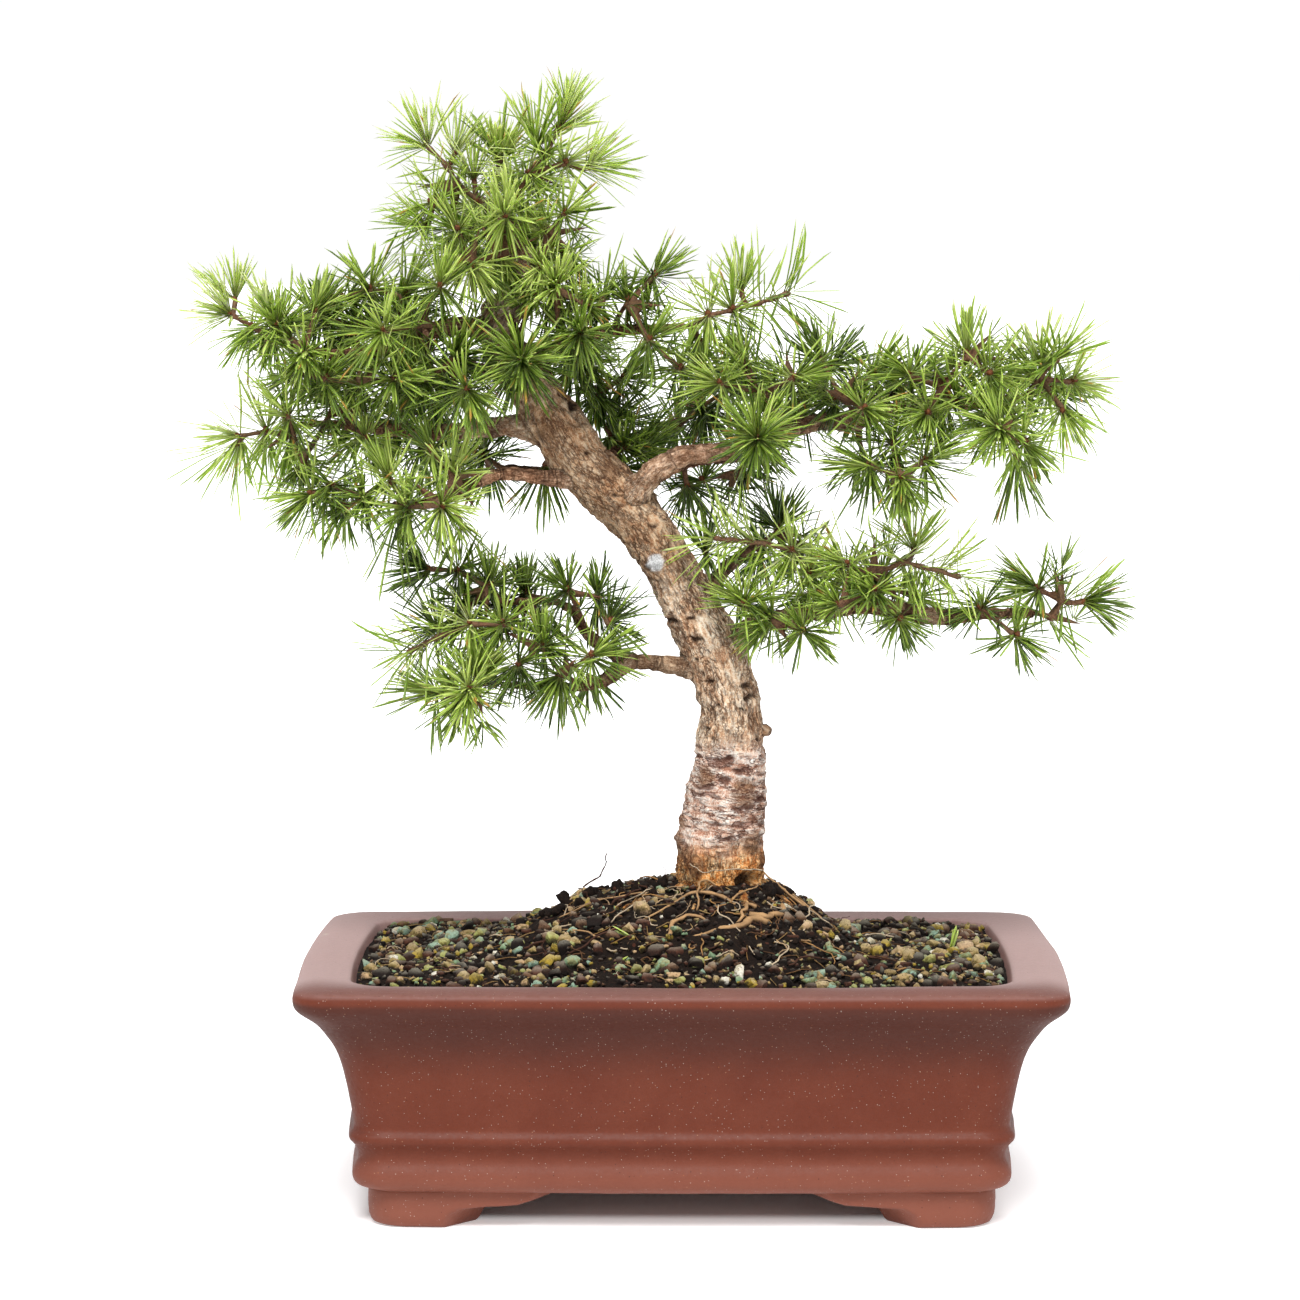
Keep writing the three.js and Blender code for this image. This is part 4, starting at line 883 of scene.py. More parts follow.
def own_buds(feet, tips, wanted, lighter, grown, chance):
    """The needles and buds where the fixed spray has its own, and the middles of those buds."""
    group = gathered(feet, BUD_REACH)
    numbers = np.unique(group)
    centres = np.array([feet[group == number].mean(axis=0) for number in numbers])
    spread = np.linalg.norm(centres[:, None] - centres[None], axis=2) + 1e6 * np.eye(len(centres))
    sets, buds = [], []
    for index, centre in enumerate(centres):
        mine = group == numbers[index]
        closest = int(np.argmin(spread[index]))
        if spread[index, closest] < WHORL_REACH:
            along = unit(tips[mine].mean(axis=0) - centre)
            line = unit(centres[closest] - centre)
            along = line * (1 if line @ along > 0 else -1)
            roots, ends = whorl(feet[mine], tips[mine], along, grown, chance)
        else:
            roots, ends = rosette(feet[mine], tips[mine], wanted, grown, chance)
            facing = unit(tips[mine] - centre).mean(axis=0) + np.array([0.0, -0.25, 0.3])
            buds.append(bud(centre + unit(facing) * 1.7, facing, chance))
        # painted shade on buds further back, with a random tone on top
        painted_shade_and_tone = -LIGHT_FALL * centre[1] + 0.12 * lumps(centre[None], 60.0, 91)[0]
        sets.append(lit_set(roots, ends, centre, 0.5 + lighter + painted_shade_and_tone + chance.normal(0, 0.09)))
    return sets, buds, centres


def extra_buds(name, lighter, chance):
    """The needles, buds and short spurs that fill the spray's thin places."""
    sets, buds, spurs = [], [], []
    for start, seat, facing, length, count in EXTRA_BUDS.get(name, ()):
        start, seat, facing = (np.array(part, dtype=float) for part in (start, seat, facing))
        roots, ends = fan(seat, facing, length, count, chance)
        bend = (start + seat) / 2 + np.array([0.0, 0.0, -0.08 * np.linalg.norm(seat - start)])
        spurs.append(tube(smooth_rows([[*start, 1.5], [*bend, 1.2], [*seat, 1.3]], 2.0), 6))
        buds.append(bud(seat + unit(facing) * 0.8, facing, chance))
        # painted shade on buds further back
        sets.append(lit_set(roots, ends, seat, 0.5 + lighter - LIGHT_FALL * seat[1] + chance.normal(0, 0.05)))
    return sets, buds, spurs


def grow_spray(node, leaf, bark, chance):
    """One spray's needles and twigs, grown over its fixed solid."""
    name = node.removeprefix("spray_")
    points, triangles = welded(node)
    needles, bare = parted(points, triangles)
    slot = "young_needles" if name in YOUNG_SPRAYS else "needles"
    lighter, grown, thickly = GROWTH[name]
    wanted = int(ROSETTE_NEEDLES[slot] * thickly)
    sets, buds, centres = own_buds(needles[:, 0], needles[:, 1], wanted, lighter, grown, chance)
    more_sets, more_buds, spurs = extra_buds(name, lighter, chance)
    used, corners = np.unique(bare, return_inverse=True)
    strand = worked(new_mesh("strand", points[used], corners.reshape(-1, 3)), ("SUBSURF", {"levels": 1}))
    strand_points = mesh_points(strand)
    strand_normals = mesh_normals(strand)
    swell = 0.05 + 0.3 * lumps(strand_points, 2.6, 5)
    strand_points = strand_points + strand_normals * swell[:, None]
    width = FRONT_WIDTH if name in FRONT_ROSETTES else NEEDLE_WIDTH[slot]
    roots, ends, middles, light = (np.concatenate(part) for part in zip(*sets, *more_sets))
    leaves = [needle_mesh(roots, ends, middles, width, light, chance)]
    roots, ends, middles = tufts(strand_points, strand_normals, centres, grown, chance)
    if roots:
        roots, ends, middles = np.vstack(roots), np.vstack(ends), np.vstack(middles)
        # painted shade on tufts further back and painted light on needles that point up
        light = 0.38 + lighter - LIGHT_FALL * roots[:, 1] + UPWARD_LIGHT * unit(ends - roots)[:, 2]
        short = (width * 0.95, light, chance, SHORT_STATIONS, SHORT_WIDTHS)
        leaves.append(needle_mesh(roots, ends, middles, *short))
    leaf_points, leaf_faces, _ = together([made[:2] for made in leaves])
    marks = {mark: np.concatenate([made[2][mark] for made in leaves]) for mark in leaves[0][2]}
    mesh = new_mesh("needles_" + name, leaf_points, leaf_faces)
    make_piece("needles_" + name, mesh, leaf[slot], [node], marks)
    strand_faces = grid_triangles(*mesh_corners(strand, 4).T)
    twig_points, twig_faces, owners = together([(strand_points, strand_faces), *spurs, *buds, *more_buds])
    mesh = new_mesh("twigs_" + name, twig_points, twig_faces)
    make_piece("twigs_" + name, mesh, bark, [node], {"bud": (owners > len(spurs)).astype(float)})


# ---- wood

TRUNK_VOXEL = 0.7
LIMB_VOXEL = 1.08
ROW_STEP = 3.0
STUB_ROWS = 8
LINE_GAP = 500.0  # keeps one limb's bark from running on in the next
POINTS_AT_ONCE = 8000
COLLAR = 1.35
ROOT_START = 12.0
ROOT_SINK = 1.9
ROOT_DIP = 3.0
SIDE_KNOB = [[28, -5, 196.4, 2.4], [33.5, -6, 196.6, 2.5], [36.2, -6.4, 196.9, 2.9]]
KNOBS = [  # x, y, z, width, height above the bark
    [0.5, -8, 158.5, 3.4, 2.6], [-1, -7, 151, 3.6, 2.8], [2.5, -12, 145, 3.4, 1.2],
    [9, -16, 178, 5, 1.4], [26, -15, 171, 6, 1], [30, -14, 150, 5, 1.6], [35, -6, 141, 4, 1.8],
    [35.8, -6.2, 196.7, 3.2, 0.2], [5, -17, 140, 5, 1.2], [-56, -9, 322, 4.2, 1.6],
    [-30, -9, 306, 4.6, 1.4], [-12, -12, 268, 3.6, 1], [6, 10, 236, 5, 2.4], [34, 6, 186, 4.6, 2.6],
    [2, 8, 172, 5, 2.2], [14, 18, 152, 6, 2], [-20, 9, 290, 5, 2],
]
SCARS = [  # x, z, half width, half height, depth: old leaf and twig scars on the trunk's front
    [-4.6, 243.5, 3.2, 2, 1.6], [3.5, 244.5, 2.6, 0.9, 0.9], [6.2, 236, 4.2, 1.7, 1.6],
    [5.6, 228, 1, 0.8, 0.8], [10.8, 218, 3.2, 1, 1.1], [27, 216.8, 3.2, 1.8, 1.2],
    [28.6, 211.6, 3.2, 1.6, 1.1], [25, 207, 2.6, 0.8, 0.8], [15, 208.6, 1.3, 0.8, 0.8],
    [11, 198, 1.5, 1.1, 0.9], [24.6, 192.8, 1.1, 0.8, 0.8], [31.8, 193, 1.1, 1.2, 0.8],
    [20.6, 186.2, 2.4, 0.9, 1.1], [23.5, 180.5, 3.4, 1.5, 0.7], [17.8, 176.6, 3.8, 1.7, 0.8],
    [33, 167.6, 1.4, 1.3, 1], [9.5, 173.2, 5, 1.1, 1], [26, 165, 7, 1.3, 1.1], [14, 158.5, 4.2, 1, 0.9],
    [18, 152, 4, 1.2, 0.9], [27.5, 133.5, 5.6, 4.8, 5], [-45.8, 334, 2.6, 2.8, 1.4],
    [-27, 296, 3, 1, 0.9], [-40, 314, 2, 1.2, 0.8], [-12, 283, 2.4, 1, 0.8],
]
RESIN = [-10.5, 268.0, 3.7, 3.3]  # x, z, half width, half height
OCHRE_TOP = 148.0
BANDED_TOP = 190.0


def soil_height(x, y):
    spread = np.where(x < MOUND_X, MOUND_LEFT, MOUND_RIGHT)
    away = np.hypot((x - MOUND_X) / spread, y / MOUND_DEPTH)
    dome = (1 - (x / RIM_HALF_LENGTH) ** 2) * (1 - (y / RIM_HALF_DEPTH) ** 2)
    mound = 1 - between(away, MOUND_TOP, MOUND_TOP + MOUND_REACH)
    return SOIL_EDGE + SOIL_CROWN * dome + MOUND_HEIGHT * mound


def root_rows(degrees, reach, radius):
    """A root that leaves the trunk's foot, follows the soil and dips under it at its end."""
    turn = math.radians(degrees)
    rows = []
    for step, share in enumerate(np.linspace(0.0, 1.0, 9)):
        swing = 3.0 * math.sin(step * 1.9 + degrees)
        x = MOUND_X + math.cos(turn) * (ROOT_START + reach * share) - math.sin(turn) * swing * share
        y = math.sin(turn) * (ROOT_START + reach * share) + math.cos(turn) * swing * share
        lift = -ROOT_SINK - ROOT_DIP * share**2 + 1.3 * math.sin(step * 1.7 + degrees)
        z = float(soil_height(x, y)) + lift
        rows.append([x, y, z - (3.0 if share == 0 else 0.0), radius * (0.95 - 0.45 * share)])
    return rows


def limb_line(rows):
    """A limb's rows joined smoothly, with a collar where it leaves the wood that bears it."""
    rows = np.array(rows, dtype=float)
    rows[0, 3] *= COLLAR
    rows[1, 3] *= 1.08
    return smooth_rows(rows, ROW_STEP)


def stub(line):
    """The start of a limb, drawn in at its end so that the limb's own skin covers it."""
    start = line[:STUB_ROWS].copy()
    start[:, 3] *= 1.06 - 0.34 * between(np.arange(STUB_ROWS) / (STUB_ROWS - 1), 0.45, 1.0)
    return start


def nearest_line(points, lines):
    """For each point the line it belongs to, its place along and round that line, and the radius there."""
    rows = np.vstack(lines)
    frames = [carried_frames(line[:, :3]) for line in lines]
    ahead = np.vstack([made[0] for made in frames])
    side = np.vstack([made[1] for made in frames])
    across = np.vstack([made[2] for made in frames])
    owner = np.concatenate([np.full(len(line), number) for number, line in enumerate(lines)])
    starts = [LINE_GAP * number for number in range(len(lines))]
    along = np.concatenate([np.arange(len(line)) * ROW_STEP + start for line, start in zip(lines, starts)])
    best = np.empty(len(points), dtype=int)
    centres = rows[None, :, :3].astype(np.float32)
    for start in range(0, len(points), POINTS_AT_ONCE):
        few = slice(start, start + POINTS_AT_ONCE)
        distance = np.linalg.norm(points[few, None].astype(np.float32) - centres, axis=2)
        best[few] = np.argmin(distance - rows[None, :, 3], axis=1)
    offset = points - rows[best, :3]
    forward = np.sum(offset * ahead[best], axis=1)
    turn = np.arctan2(np.sum(offset * across[best], axis=1), np.sum(offset * side[best], axis=1))
    return owner[best], along[best] + forward, turn, rows[best, 3]


def uneven_tube(line, sides, unevenness, seed):
    """A tube whose section isn't quite round."""
    turns = np.linspace(0, 2 * math.pi, sides, endpoint=False)
    along = np.repeat(np.arange(len(line)) * ROW_STEP * 0.06, sides)
    round_x = np.tile(np.cos(turns), len(line)) * 0.9 + 7.0 * seed
    round_y = np.tile(np.sin(turns), len(line)) * 0.9
    bulge = lumps(np.column_stack([along, round_x, round_y]), 1.0, 40 + seed)
    return tube(line, sides, 1.0 + unevenness * bulge.reshape(len(line), sides))


def bark_relief(straight, banded, scaly, base, fine):
    """How far the bark stands out at each point, and the marks of its hollows, plates and ridges."""
    bent = straight + lumps(straight, 7.0, 11)[:, None] * (0.9, 0.9, 1.5)
    bent = bent + lumps(straight, 2.6, 12)[:, None] * (0.35, 0.35, 0.35)
    crumb = rough(straight, 1.9, 2, 55)
    broad = rough(bent, (9.0, 9.0, 7.0), 2, 36)
    run = lumps(bent, (2.9, 2.9, 8.0), 21) + 0.4 * lumps(bent, (1.7, 1.7, 3.6), 22)
    crack = (1.0 - between(np.abs(run), 0.02, 0.22)) * between(lumps(bent, (8.0, 8.0, 11.0), 23), -0.6, 0.0)
    plates = flakes(bent, (3.6, 3.6, 5.6), 33)
    plate = between(plates[1], 0.0, 0.3)
    lens = lumps(bent, (7.0, 7.0, 1.4), 24) + 0.35 * lumps(bent, (3.6, 3.6, 1.2), 25)
    lens = between(lens, 0.32, 0.6)
    ridge = lumps(bent, (16.0, 16.0, 1.4), 26)
    grain = flakes(bent, (2.4, 2.4, 2.6), 34)
    gap = 1.0 - between(grain[1], 0.0, 0.34)
    move = banded * (0.6 * ridge - 0.8 * lens + 0.4 * crumb + 0.2)
    move = move + scaly * (0.5 * broad + 0.4 * plates[2] * plate - 0.75 * crack + 0.45 * crumb + 0.1)
    move = move + base * (0.35 * grain[2] - 0.6 * gap + 0.45 * crumb + 0.35 * broad + 0.15)
    move = move + fine * (0.32 * lumps(bent, (2.2, 2.2, 2.6), 61) + 0.22 * crumb - 0.35 * crack)
    hollow = np.maximum(banded * lens, np.maximum(scaly, 0.8 * fine) * crack * 0.9)
    hollow = np.maximum(hollow, base * 0.7 * gap * between(broad, -0.6, 0.4))
    tone = 0.5 + 0.3 * plates[2] + 0.25 * broad
    crest = 0.5 + 0.35 * ridge + 0.15 * crumb
    return move, hollow, np.clip(tone, 0, 1), np.clip(crest, 0, 1)


def add_knobs(points, move):
    """The bark's height with its knobs, and where they are."""
    lump = np.zeros(len(points))
    for x, y, z, width, lift in KNOBS:
        away = np.linalg.norm(points - (x, y, z), axis=1) / width
        shape = np.exp(-(away**2) * 1.1)
        move = move + lift * shape
        lump = np.maximum(lump, between(shape, 0.1, 0.5))
    return move, lump


def add_scars(points, in_front, move):
    """The bark's height with its scars and drop of resin, and where each is."""
    scar = np.zeros(len(points))
    shaken = points + 0.9 * np.stack([lumps(points, 2.4, seed) for seed in (46, 47, 48)], axis=1)
    for x, z, half_width, half_height, depth in SCARS:
        away = np.hypot((shaken[:, 0] - x) / half_width, (shaken[:, 2] - z) / half_height)
        away = np.where(in_front, away, 9.0)
        rim = np.exp(-(((away - 1.35) / 0.4) ** 2))
        inside = 1.0 - between(away, 0.45, 1.1)
        move = move - depth * inside + 0.35 * rim
        scar = np.maximum(scar, inside)
    x, z, half_width, half_height = RESIN
    away = np.hypot((shaken[:, 0] - x) / half_width, (shaken[:, 2] - z) / half_height)
    resin = (1.0 - between(away, 0.7, 1.15)) * in_front
    return move + 0.9 * resin * (0.7 + 0.5 * lumps(points, 1.5, 49)), scar, resin


def wood_skin(name, tubes, voxel, lines, bark):
    """Tubes grown into one skin, with knots, plates, ridges and scars."""
    points, faces, _ = together(tubes)
    whole = worked(
        new_mesh("rough wood", points, faces),
        ("REMESH", {"mode": "VOXEL", "voxel_size": voxel * MM}),
        ("SMOOTH", {"factor": 0.5, "iterations": 3}),
    )
    points = mesh_points(whole)
    normals = mesh_normals(whole)
    owner, along, turn, radius = nearest_line(points, lines)
    straight = np.stack([np.cos(turn) * radius, np.sin(turn) * radius, along], axis=1)
    height = points[:, 2]
    on_trunk = owner == 0
    is_root = owner > len(LIMBS)
    above_base = between(height + 3.0 * lumps(points, 9.0, 44), OCHRE_TOP - 10, OCHRE_TOP + 6)
    above_bands = between(height + 3.0 * lumps(points, 9.0, 45), BANDED_TOP - 4, BANDED_TOP + 6)
    base = np.where(is_root, 0.85, np.where(on_trunk, 1.0 - above_base, 0.0))
    banded = np.where(on_trunk, above_base * (1.0 - above_bands), 0.0)
    upper = np.where(on_trunk, above_bands, np.where(is_root, 0.0, 1.0))
    thick = np.clip(radius / 12.0, 0.12, 1.0)
    rough_base = base * np.where(is_root, 0.4, 1.0)
    relief = bark_relief(straight, banded, upper * thick, rough_base, np.where(on_trunk, 0.0, 1.0))
    move, hollow, tone, crest = relief
    move = move + 0.8 * thick * lumps(straight, (8.0, 8.0, 10.0), 3)
    move, lump = add_knobs(points, move)
    move, scar, resin = add_scars(points, (normals[:, 1] < 0.1) & on_trunk, move)
    set_points(whole, points + normals * move[:, None])
    marks = {
        "resin": resin,
        "hollow": np.clip(hollow, 0, 1),
        "scar": scar,
        "base": base,
        "banded": banded,
        "plate": tone,
        "lump": lump,
        "thick": np.clip((radius - 2.0) / 9.0, 0, 1),
        "crest": crest,
        # painted shade on the limbs at the back of the crown
        "painted_shade_behind": between(points[:, 1], 15.0, 42.0) * np.where(on_trunk, 0.0, 1.0),
        "lengthwise": straight * MM,
    }
    make_piece(name, whole, bark, ["trunk"], marks)


def grow_wood(bark):
    """The trunk with the collars of its limbs, and the limbs and surface roots."""
    trunk = smooth_rows(TRUNK, ROW_STEP)
    limbs = [limb_line(rows) for rows in LIMBS.values()]
    roots = [smooth_rows(root_rows(*root), ROW_STEP) for root in ROOTS]
    lines = [trunk] + limbs + roots
    borne = [line for line in limbs if np.linalg.norm(trunk[:, :3] - line[0, :3], axis=1).min() < 8.0]
    stubs = [tube(stub(line), 14) for line in borne] + [tube(smooth_rows(SIDE_KNOB, 1.5), 14)]
    wood_skin("trunk_wood", [uneven_tube(trunk, 36, 0.08, 0)] + stubs, TRUNK_VOXEL, lines, bark)
    tubes = [uneven_tube(line, 14, 0.12, number + 1) for number, line in enumerate(limbs + roots)]
    wood_skin("limb_wood", tubes, LIMB_VOXEL, lines, bark)


# ---- pot

LONG_STEPS = 96
SHORT_STEPS = 68
CORNER_STEPS = 12
SLIT_HALF = 44
CHIPS = [  # x, y, z, size: places where the edge has lost a little of its skin
    [152.5, -111, 102.5, 1.7], [131, -91.5, 38, 1.3], [12, -92, 41, 1.1], [-96, 112, 101.5, 1],
    [-155, 40, 101.8, 1.2], [60, 112, 100.5, 1.3],
]


def outline(inset, corner, fineness=1):
    """Points round the pot at an inset from the rim's edge: always as many, in the same order."""
    half_length = RIM_HALF_LENGTH - inset
    half_depth = RIM_HALF_DEPTH - inset
    corner = min(corner, half_length * 0.9, half_depth * 0.9)
    straight_x = half_length - corner
    straight_y = half_depth - corner
    points = []
    for start, end, middle, first in (
        ((half_length, -straight_y), (half_length, straight_y), (straight_x, straight_y), 0.0),
        ((straight_x, half_depth), (-straight_x, half_depth), (-straight_x, straight_y), 0.5),
        ((-half_length, straight_y), (-half_length, -straight_y), (-straight_x, -straight_y), 1.0),
        ((-straight_x, -half_depth), (straight_x, -half_depth), (straight_x, -straight_y), 1.5),
    ):
        steps = (SHORT_STEPS if first in (0.0, 1.0) else LONG_STEPS) * fineness
        share = np.linspace(0.0, 1.0, steps, endpoint=False)[:, None]
        points.append(np.array(start) * (1 - share) + np.array(end) * share)
        turn = (first + np.linspace(0.0, 0.5, CORNER_STEPS * fineness, endpoint=False)) * math.pi
        points.append(np.array(middle) + corner * np.stack([np.cos(turn), np.sin(turn)], axis=1))
    ring = np.vstack(points)
    x, y = ring[:, 0] / half_length, ring[:, 1] / half_depth
    return ring + np.stack([END_BOW * x * (1 - y**2), SIDE_BOW * y * (1 - x**2)], axis=1)


def stacked(rings):
    """Quads between rings of the same number of points, each ring (points of x and y, z)."""
    count = len(rings[0][0])
    points = []
    for ring, z in rings:
        points.append(np.column_stack([ring, np.broadcast_to(z, (count,))]))
    number = np.arange(len(rings) * count).reshape(len(rings), count)
    beside = np.roll(number, -1, axis=1)
    faces = np.stack([number[:-1], beside[:-1], beside[1:], number[1:]], axis=-1).reshape(-1, 4)
    return np.vstack(points), faces


def slit(ring):
    """The thin slit in the pot's middle that a ring is drawn in to."""
    return np.column_stack([np.clip(ring[:, 0], -SLIT_HALF, SLIT_HALF), np.zeros(len(ring))])


def closed_over(ring, z, steps):
    """Rings that draw an outline in to a thin slit, so that it closes without one huge face."""
    shares = np.linspace(0.0, 1.0, steps + 1)[1:]
    return [(ring * (1 - share) + slit(ring) * share, z) for share in shares]


def profile_rows(profile, step):
    """A profile as (height, inset) rows on a smooth curve."""
    rows = np.array([[inset, 0.0, z, 1.0] for z, inset in profile])
    return [(row[2], row[0]) for row in smooth_rows(rows, step)]


def pot_waver(points):
    """The slight unevenness of a hand-finished pot."""
    broad = 0.35 * lumps(points, 55.0, 71) + 0.12 * lumps(points, 14.0, 72)
    return broad * between(points[:, 2], 0.0, 12.0)


def foot_opening(points):
    """Height of the underside at each place round the foot: 0 at a foot, up into the body between feet."""
    out, rise = np.array(FRONT_ARCH, dtype=float).T
    x, y = np.abs(points).T
    on_front = y / RIM_HALF_DEPTH > x / RIM_HALF_LENGTH
    from_end = np.where(on_front, FEET_HALF_LENGTH - x, (FEET_HALF_DEPTH - y) / SIDE_ARCH_SHARE)
    return np.clip(np.interp(from_end, out, rise, left=-3.0), 0.0, None)


def build_body(stoneware):
    """The moulded body with its lip, belts and mouth, and the drainage holes in its floor."""
    wall = profile_rows(WALL_PROFILE, 1.9)
    peak = max(range(len(wall)), key=lambda index: wall[index][0])
    rings = []
    for index, (z, inset) in enumerate(wall):
        corner = RIM_CORNER if index <= peak else MOUTH_CORNER
        if index in (peak - 1, peak, peak + 1, peak + 2):
            corner = RIM_CORNER + (index - peak + 1) * 1.3
        rings.append((outline(inset, corner), z))
    points, faces = stacked(closed_over(*rings[0], 4)[::-1] + rings + closed_over(*rings[-1], 4))
    drills = [tube([[x, 0, 8, HOLE_RADIUS], [x, 0, 32, HOLE_RADIUS]], 48) for x in (-HOLE_X, HOLE_X)]
    drill_points, drill_faces, _ = together(drills)
    drill = new_object("drill", new_mesh("drill", drill_points, drill_faces))
    body = worked(
        new_mesh("pot body", points, faces),
        ("WELD", {"merge_threshold": 0.02 * MM}),
        ("BOOLEAN", {"object": drill, "operation": "DIFFERENCE", "solver": "EXACT"}),
    )
    bpy.data.objects.remove(drill)
    points = mesh_points(body)
    normals = mesh_normals(body)
    chipped = np.zeros(len(points))
    move = pot_waver(points)
    for x, y, z, size in CHIPS:
        away = np.linalg.norm((points - (x, y, z)) / (1.4, 1.4, 1.0), axis=1) / size
        uneven = away + 0.25 * lumps(points, 1.3, 75)
        chipped = np.maximum(chipped, 1.0 - between(uneven, 0.75, 1.1))
        move = move - 0.5 * size * (1.0 - between(uneven, 0.4, 1.2)) * 0.5
    set_points(body, points + normals * move[:, None])
    make_piece("pot_body", body, stoneware, ["pot"], {"chip": chipped})


def build_feet(stoneware):
    """The bracket feet: one closed ring of clay with an arch on each side."""
    heights, insets = np.array(sorted(FOOT_PROFILE)).T
    base_ring = outline(FEET_OUTER, RIM_CORNER, 2)
    count = len(base_ring)
    low = foot_opening(base_ring)
    low = np.where(low > ARCH_TOP, ARCH_TOP + 1.0, low)
    outer, inner = [], []
    for level in FEET_LEVELS:
        rise = (FEET_TOP - low) * (level / FEET_TOP)
        z = low + rise
        softened = 0.9 * np.clip(1.0 - rise / 1.1, 0.0, 1.0) ** 2
        outer.append((ring_at(np.interp(z, heights, insets) + softened * (low > 0.05), 2), z))
        inner.append((ring_at(np.full(count, FEET_INNER) - softened, 2), z))
    points, faces = stacked(outer + inner[::-1] + outer[:1])
    total = len(points) - count
    faces = np.where(faces >= total, faces - total, faces)
    feet = new_mesh("pot feet", points[:total], faces)
    points = mesh_points(feet)
    waver = 0.2 * lumps(points, 9.0, 77) * between(points[:, 2], 0, 3)
    set_points(feet, points + mesh_normals(feet) * waver[:, None])
    make_piece("pot_feet", feet, stoneware, ["pot"], {"chip": np.zeros(len(points))})


def ring_at(insets, fineness):
    """An outline whose inset changes from point to point."""
    steps = np.linspace(np.min(insets) - 0.01, np.max(insets) + 0.01, 6)
    rings = np.array([outline(inset, RIM_CORNER, fineness) for inset in steps])
    share = (insets - steps[0]) / (steps[1] - steps[0])
    lower = np.clip(np.floor(share).astype(int), 0, len(steps) - 2)
    part = (share - lower)[:, None]
    every = np.arange(len(insets))
    return rings[lower, every] * (1 - part) + rings[lower + 1, every] * part


# ---- soil and what lies on it

TOP_RINGS = 48
STONES = [  # x, y, size across, kind: larger stones that lie on top
    [23.7, -75.5, 7.2, 0.97], [-58, -70, 5.6, 0.35], [-96, -52, 6, 0.52], [-120, -30, 5.2, 0.97],
    [66, -62, 6.2, 0.12], [92, -44, 5.6, 0.55], [112, -58, 6.4, 0.35], [-20, -78, 5.4, 0.12],
    [52, -79, 5, 0.75], [-84, -76, 7.4, 0.63], [-45, 0, 4.2, 0.62], [121, 20, 6, 0.35],
    [-104, 40, 6.2, 0.12], [40, 70, 6, 0.35], [-40, 76, 5.6, 0.97], [44, -22, 4.6, 0.97],
    [49.5, -27, 5.6, 0.38], [44.5, -33, 6, 0.42], [-7, -70, 6.6, 0.2], [-28, -44, 5.2, 0.4],
    [18, -63, 6.8, 0.55], [-2, -58, 5.8, 0.3], [38, -66, 5.4, 0.3], [65, -40, 5.8, 0.4],
    [-62, -50, 5.4, 0.55],
]
TWIGLETS = [  # start and end radius, then x, y and rise over the soil
    (0.45, 0.3, [[-38, -12, 0.2], [-40.5, -12.5, 5], [-43.5, -13.5, 8.6]]),
    (0.4, 0.25, [[-42, -9, 7], [-37, -9.5, 8.4], [-33.5, -10, 10.6], [-32, -10.5, 16], [-31.6, -11, 18.6]]),
    (0.4, 0.3, [[-14, -15, 0.5], [-16.9, -16, 3], [-19.5, -17, 4.4], [-22.5, -18, 6.2]]),
    (0.16, 0.14, [[-6, -12, 2], [-6.6, -12.5, 5.5], [-8, -13, 9.5], [-10.4, -13.5, 12]]),
    (0.16, 0.14, [[61, -10, 0.5], [64.5, -11, 3.6], [68, -12, 7.6], [70.5, -12.5, 10.6]]),
    (0.5, 0.35, [[-30, -22, 1.2], [-24, -24, 3.6], [-17, -25, 6]]),
    (0.55, 0.45, [[-52, -34, 0.6], [-59, -36.5, 1.6], [-66, -38, 1.8]]),
    (0.45, 0.4, [[-46, -50, 1], [-33, -44, 2.6], [-21, -41, 2]]),
    (0.5, 0.35, [[70, -30, 0.6], [78, -33, 1.8], [84, -36, 1.6]]),
    (0.45, 0.3, [[44, -62, 1], [52, -55, 3], [62, -51, 2]]),
]
BLADES = [  # foot x, y, tip's x, y and rise
    [113, -6, 116, -8, 13], [-20, -46, -29, -45, 5], [-28, -60, -22, -63, 4],
]
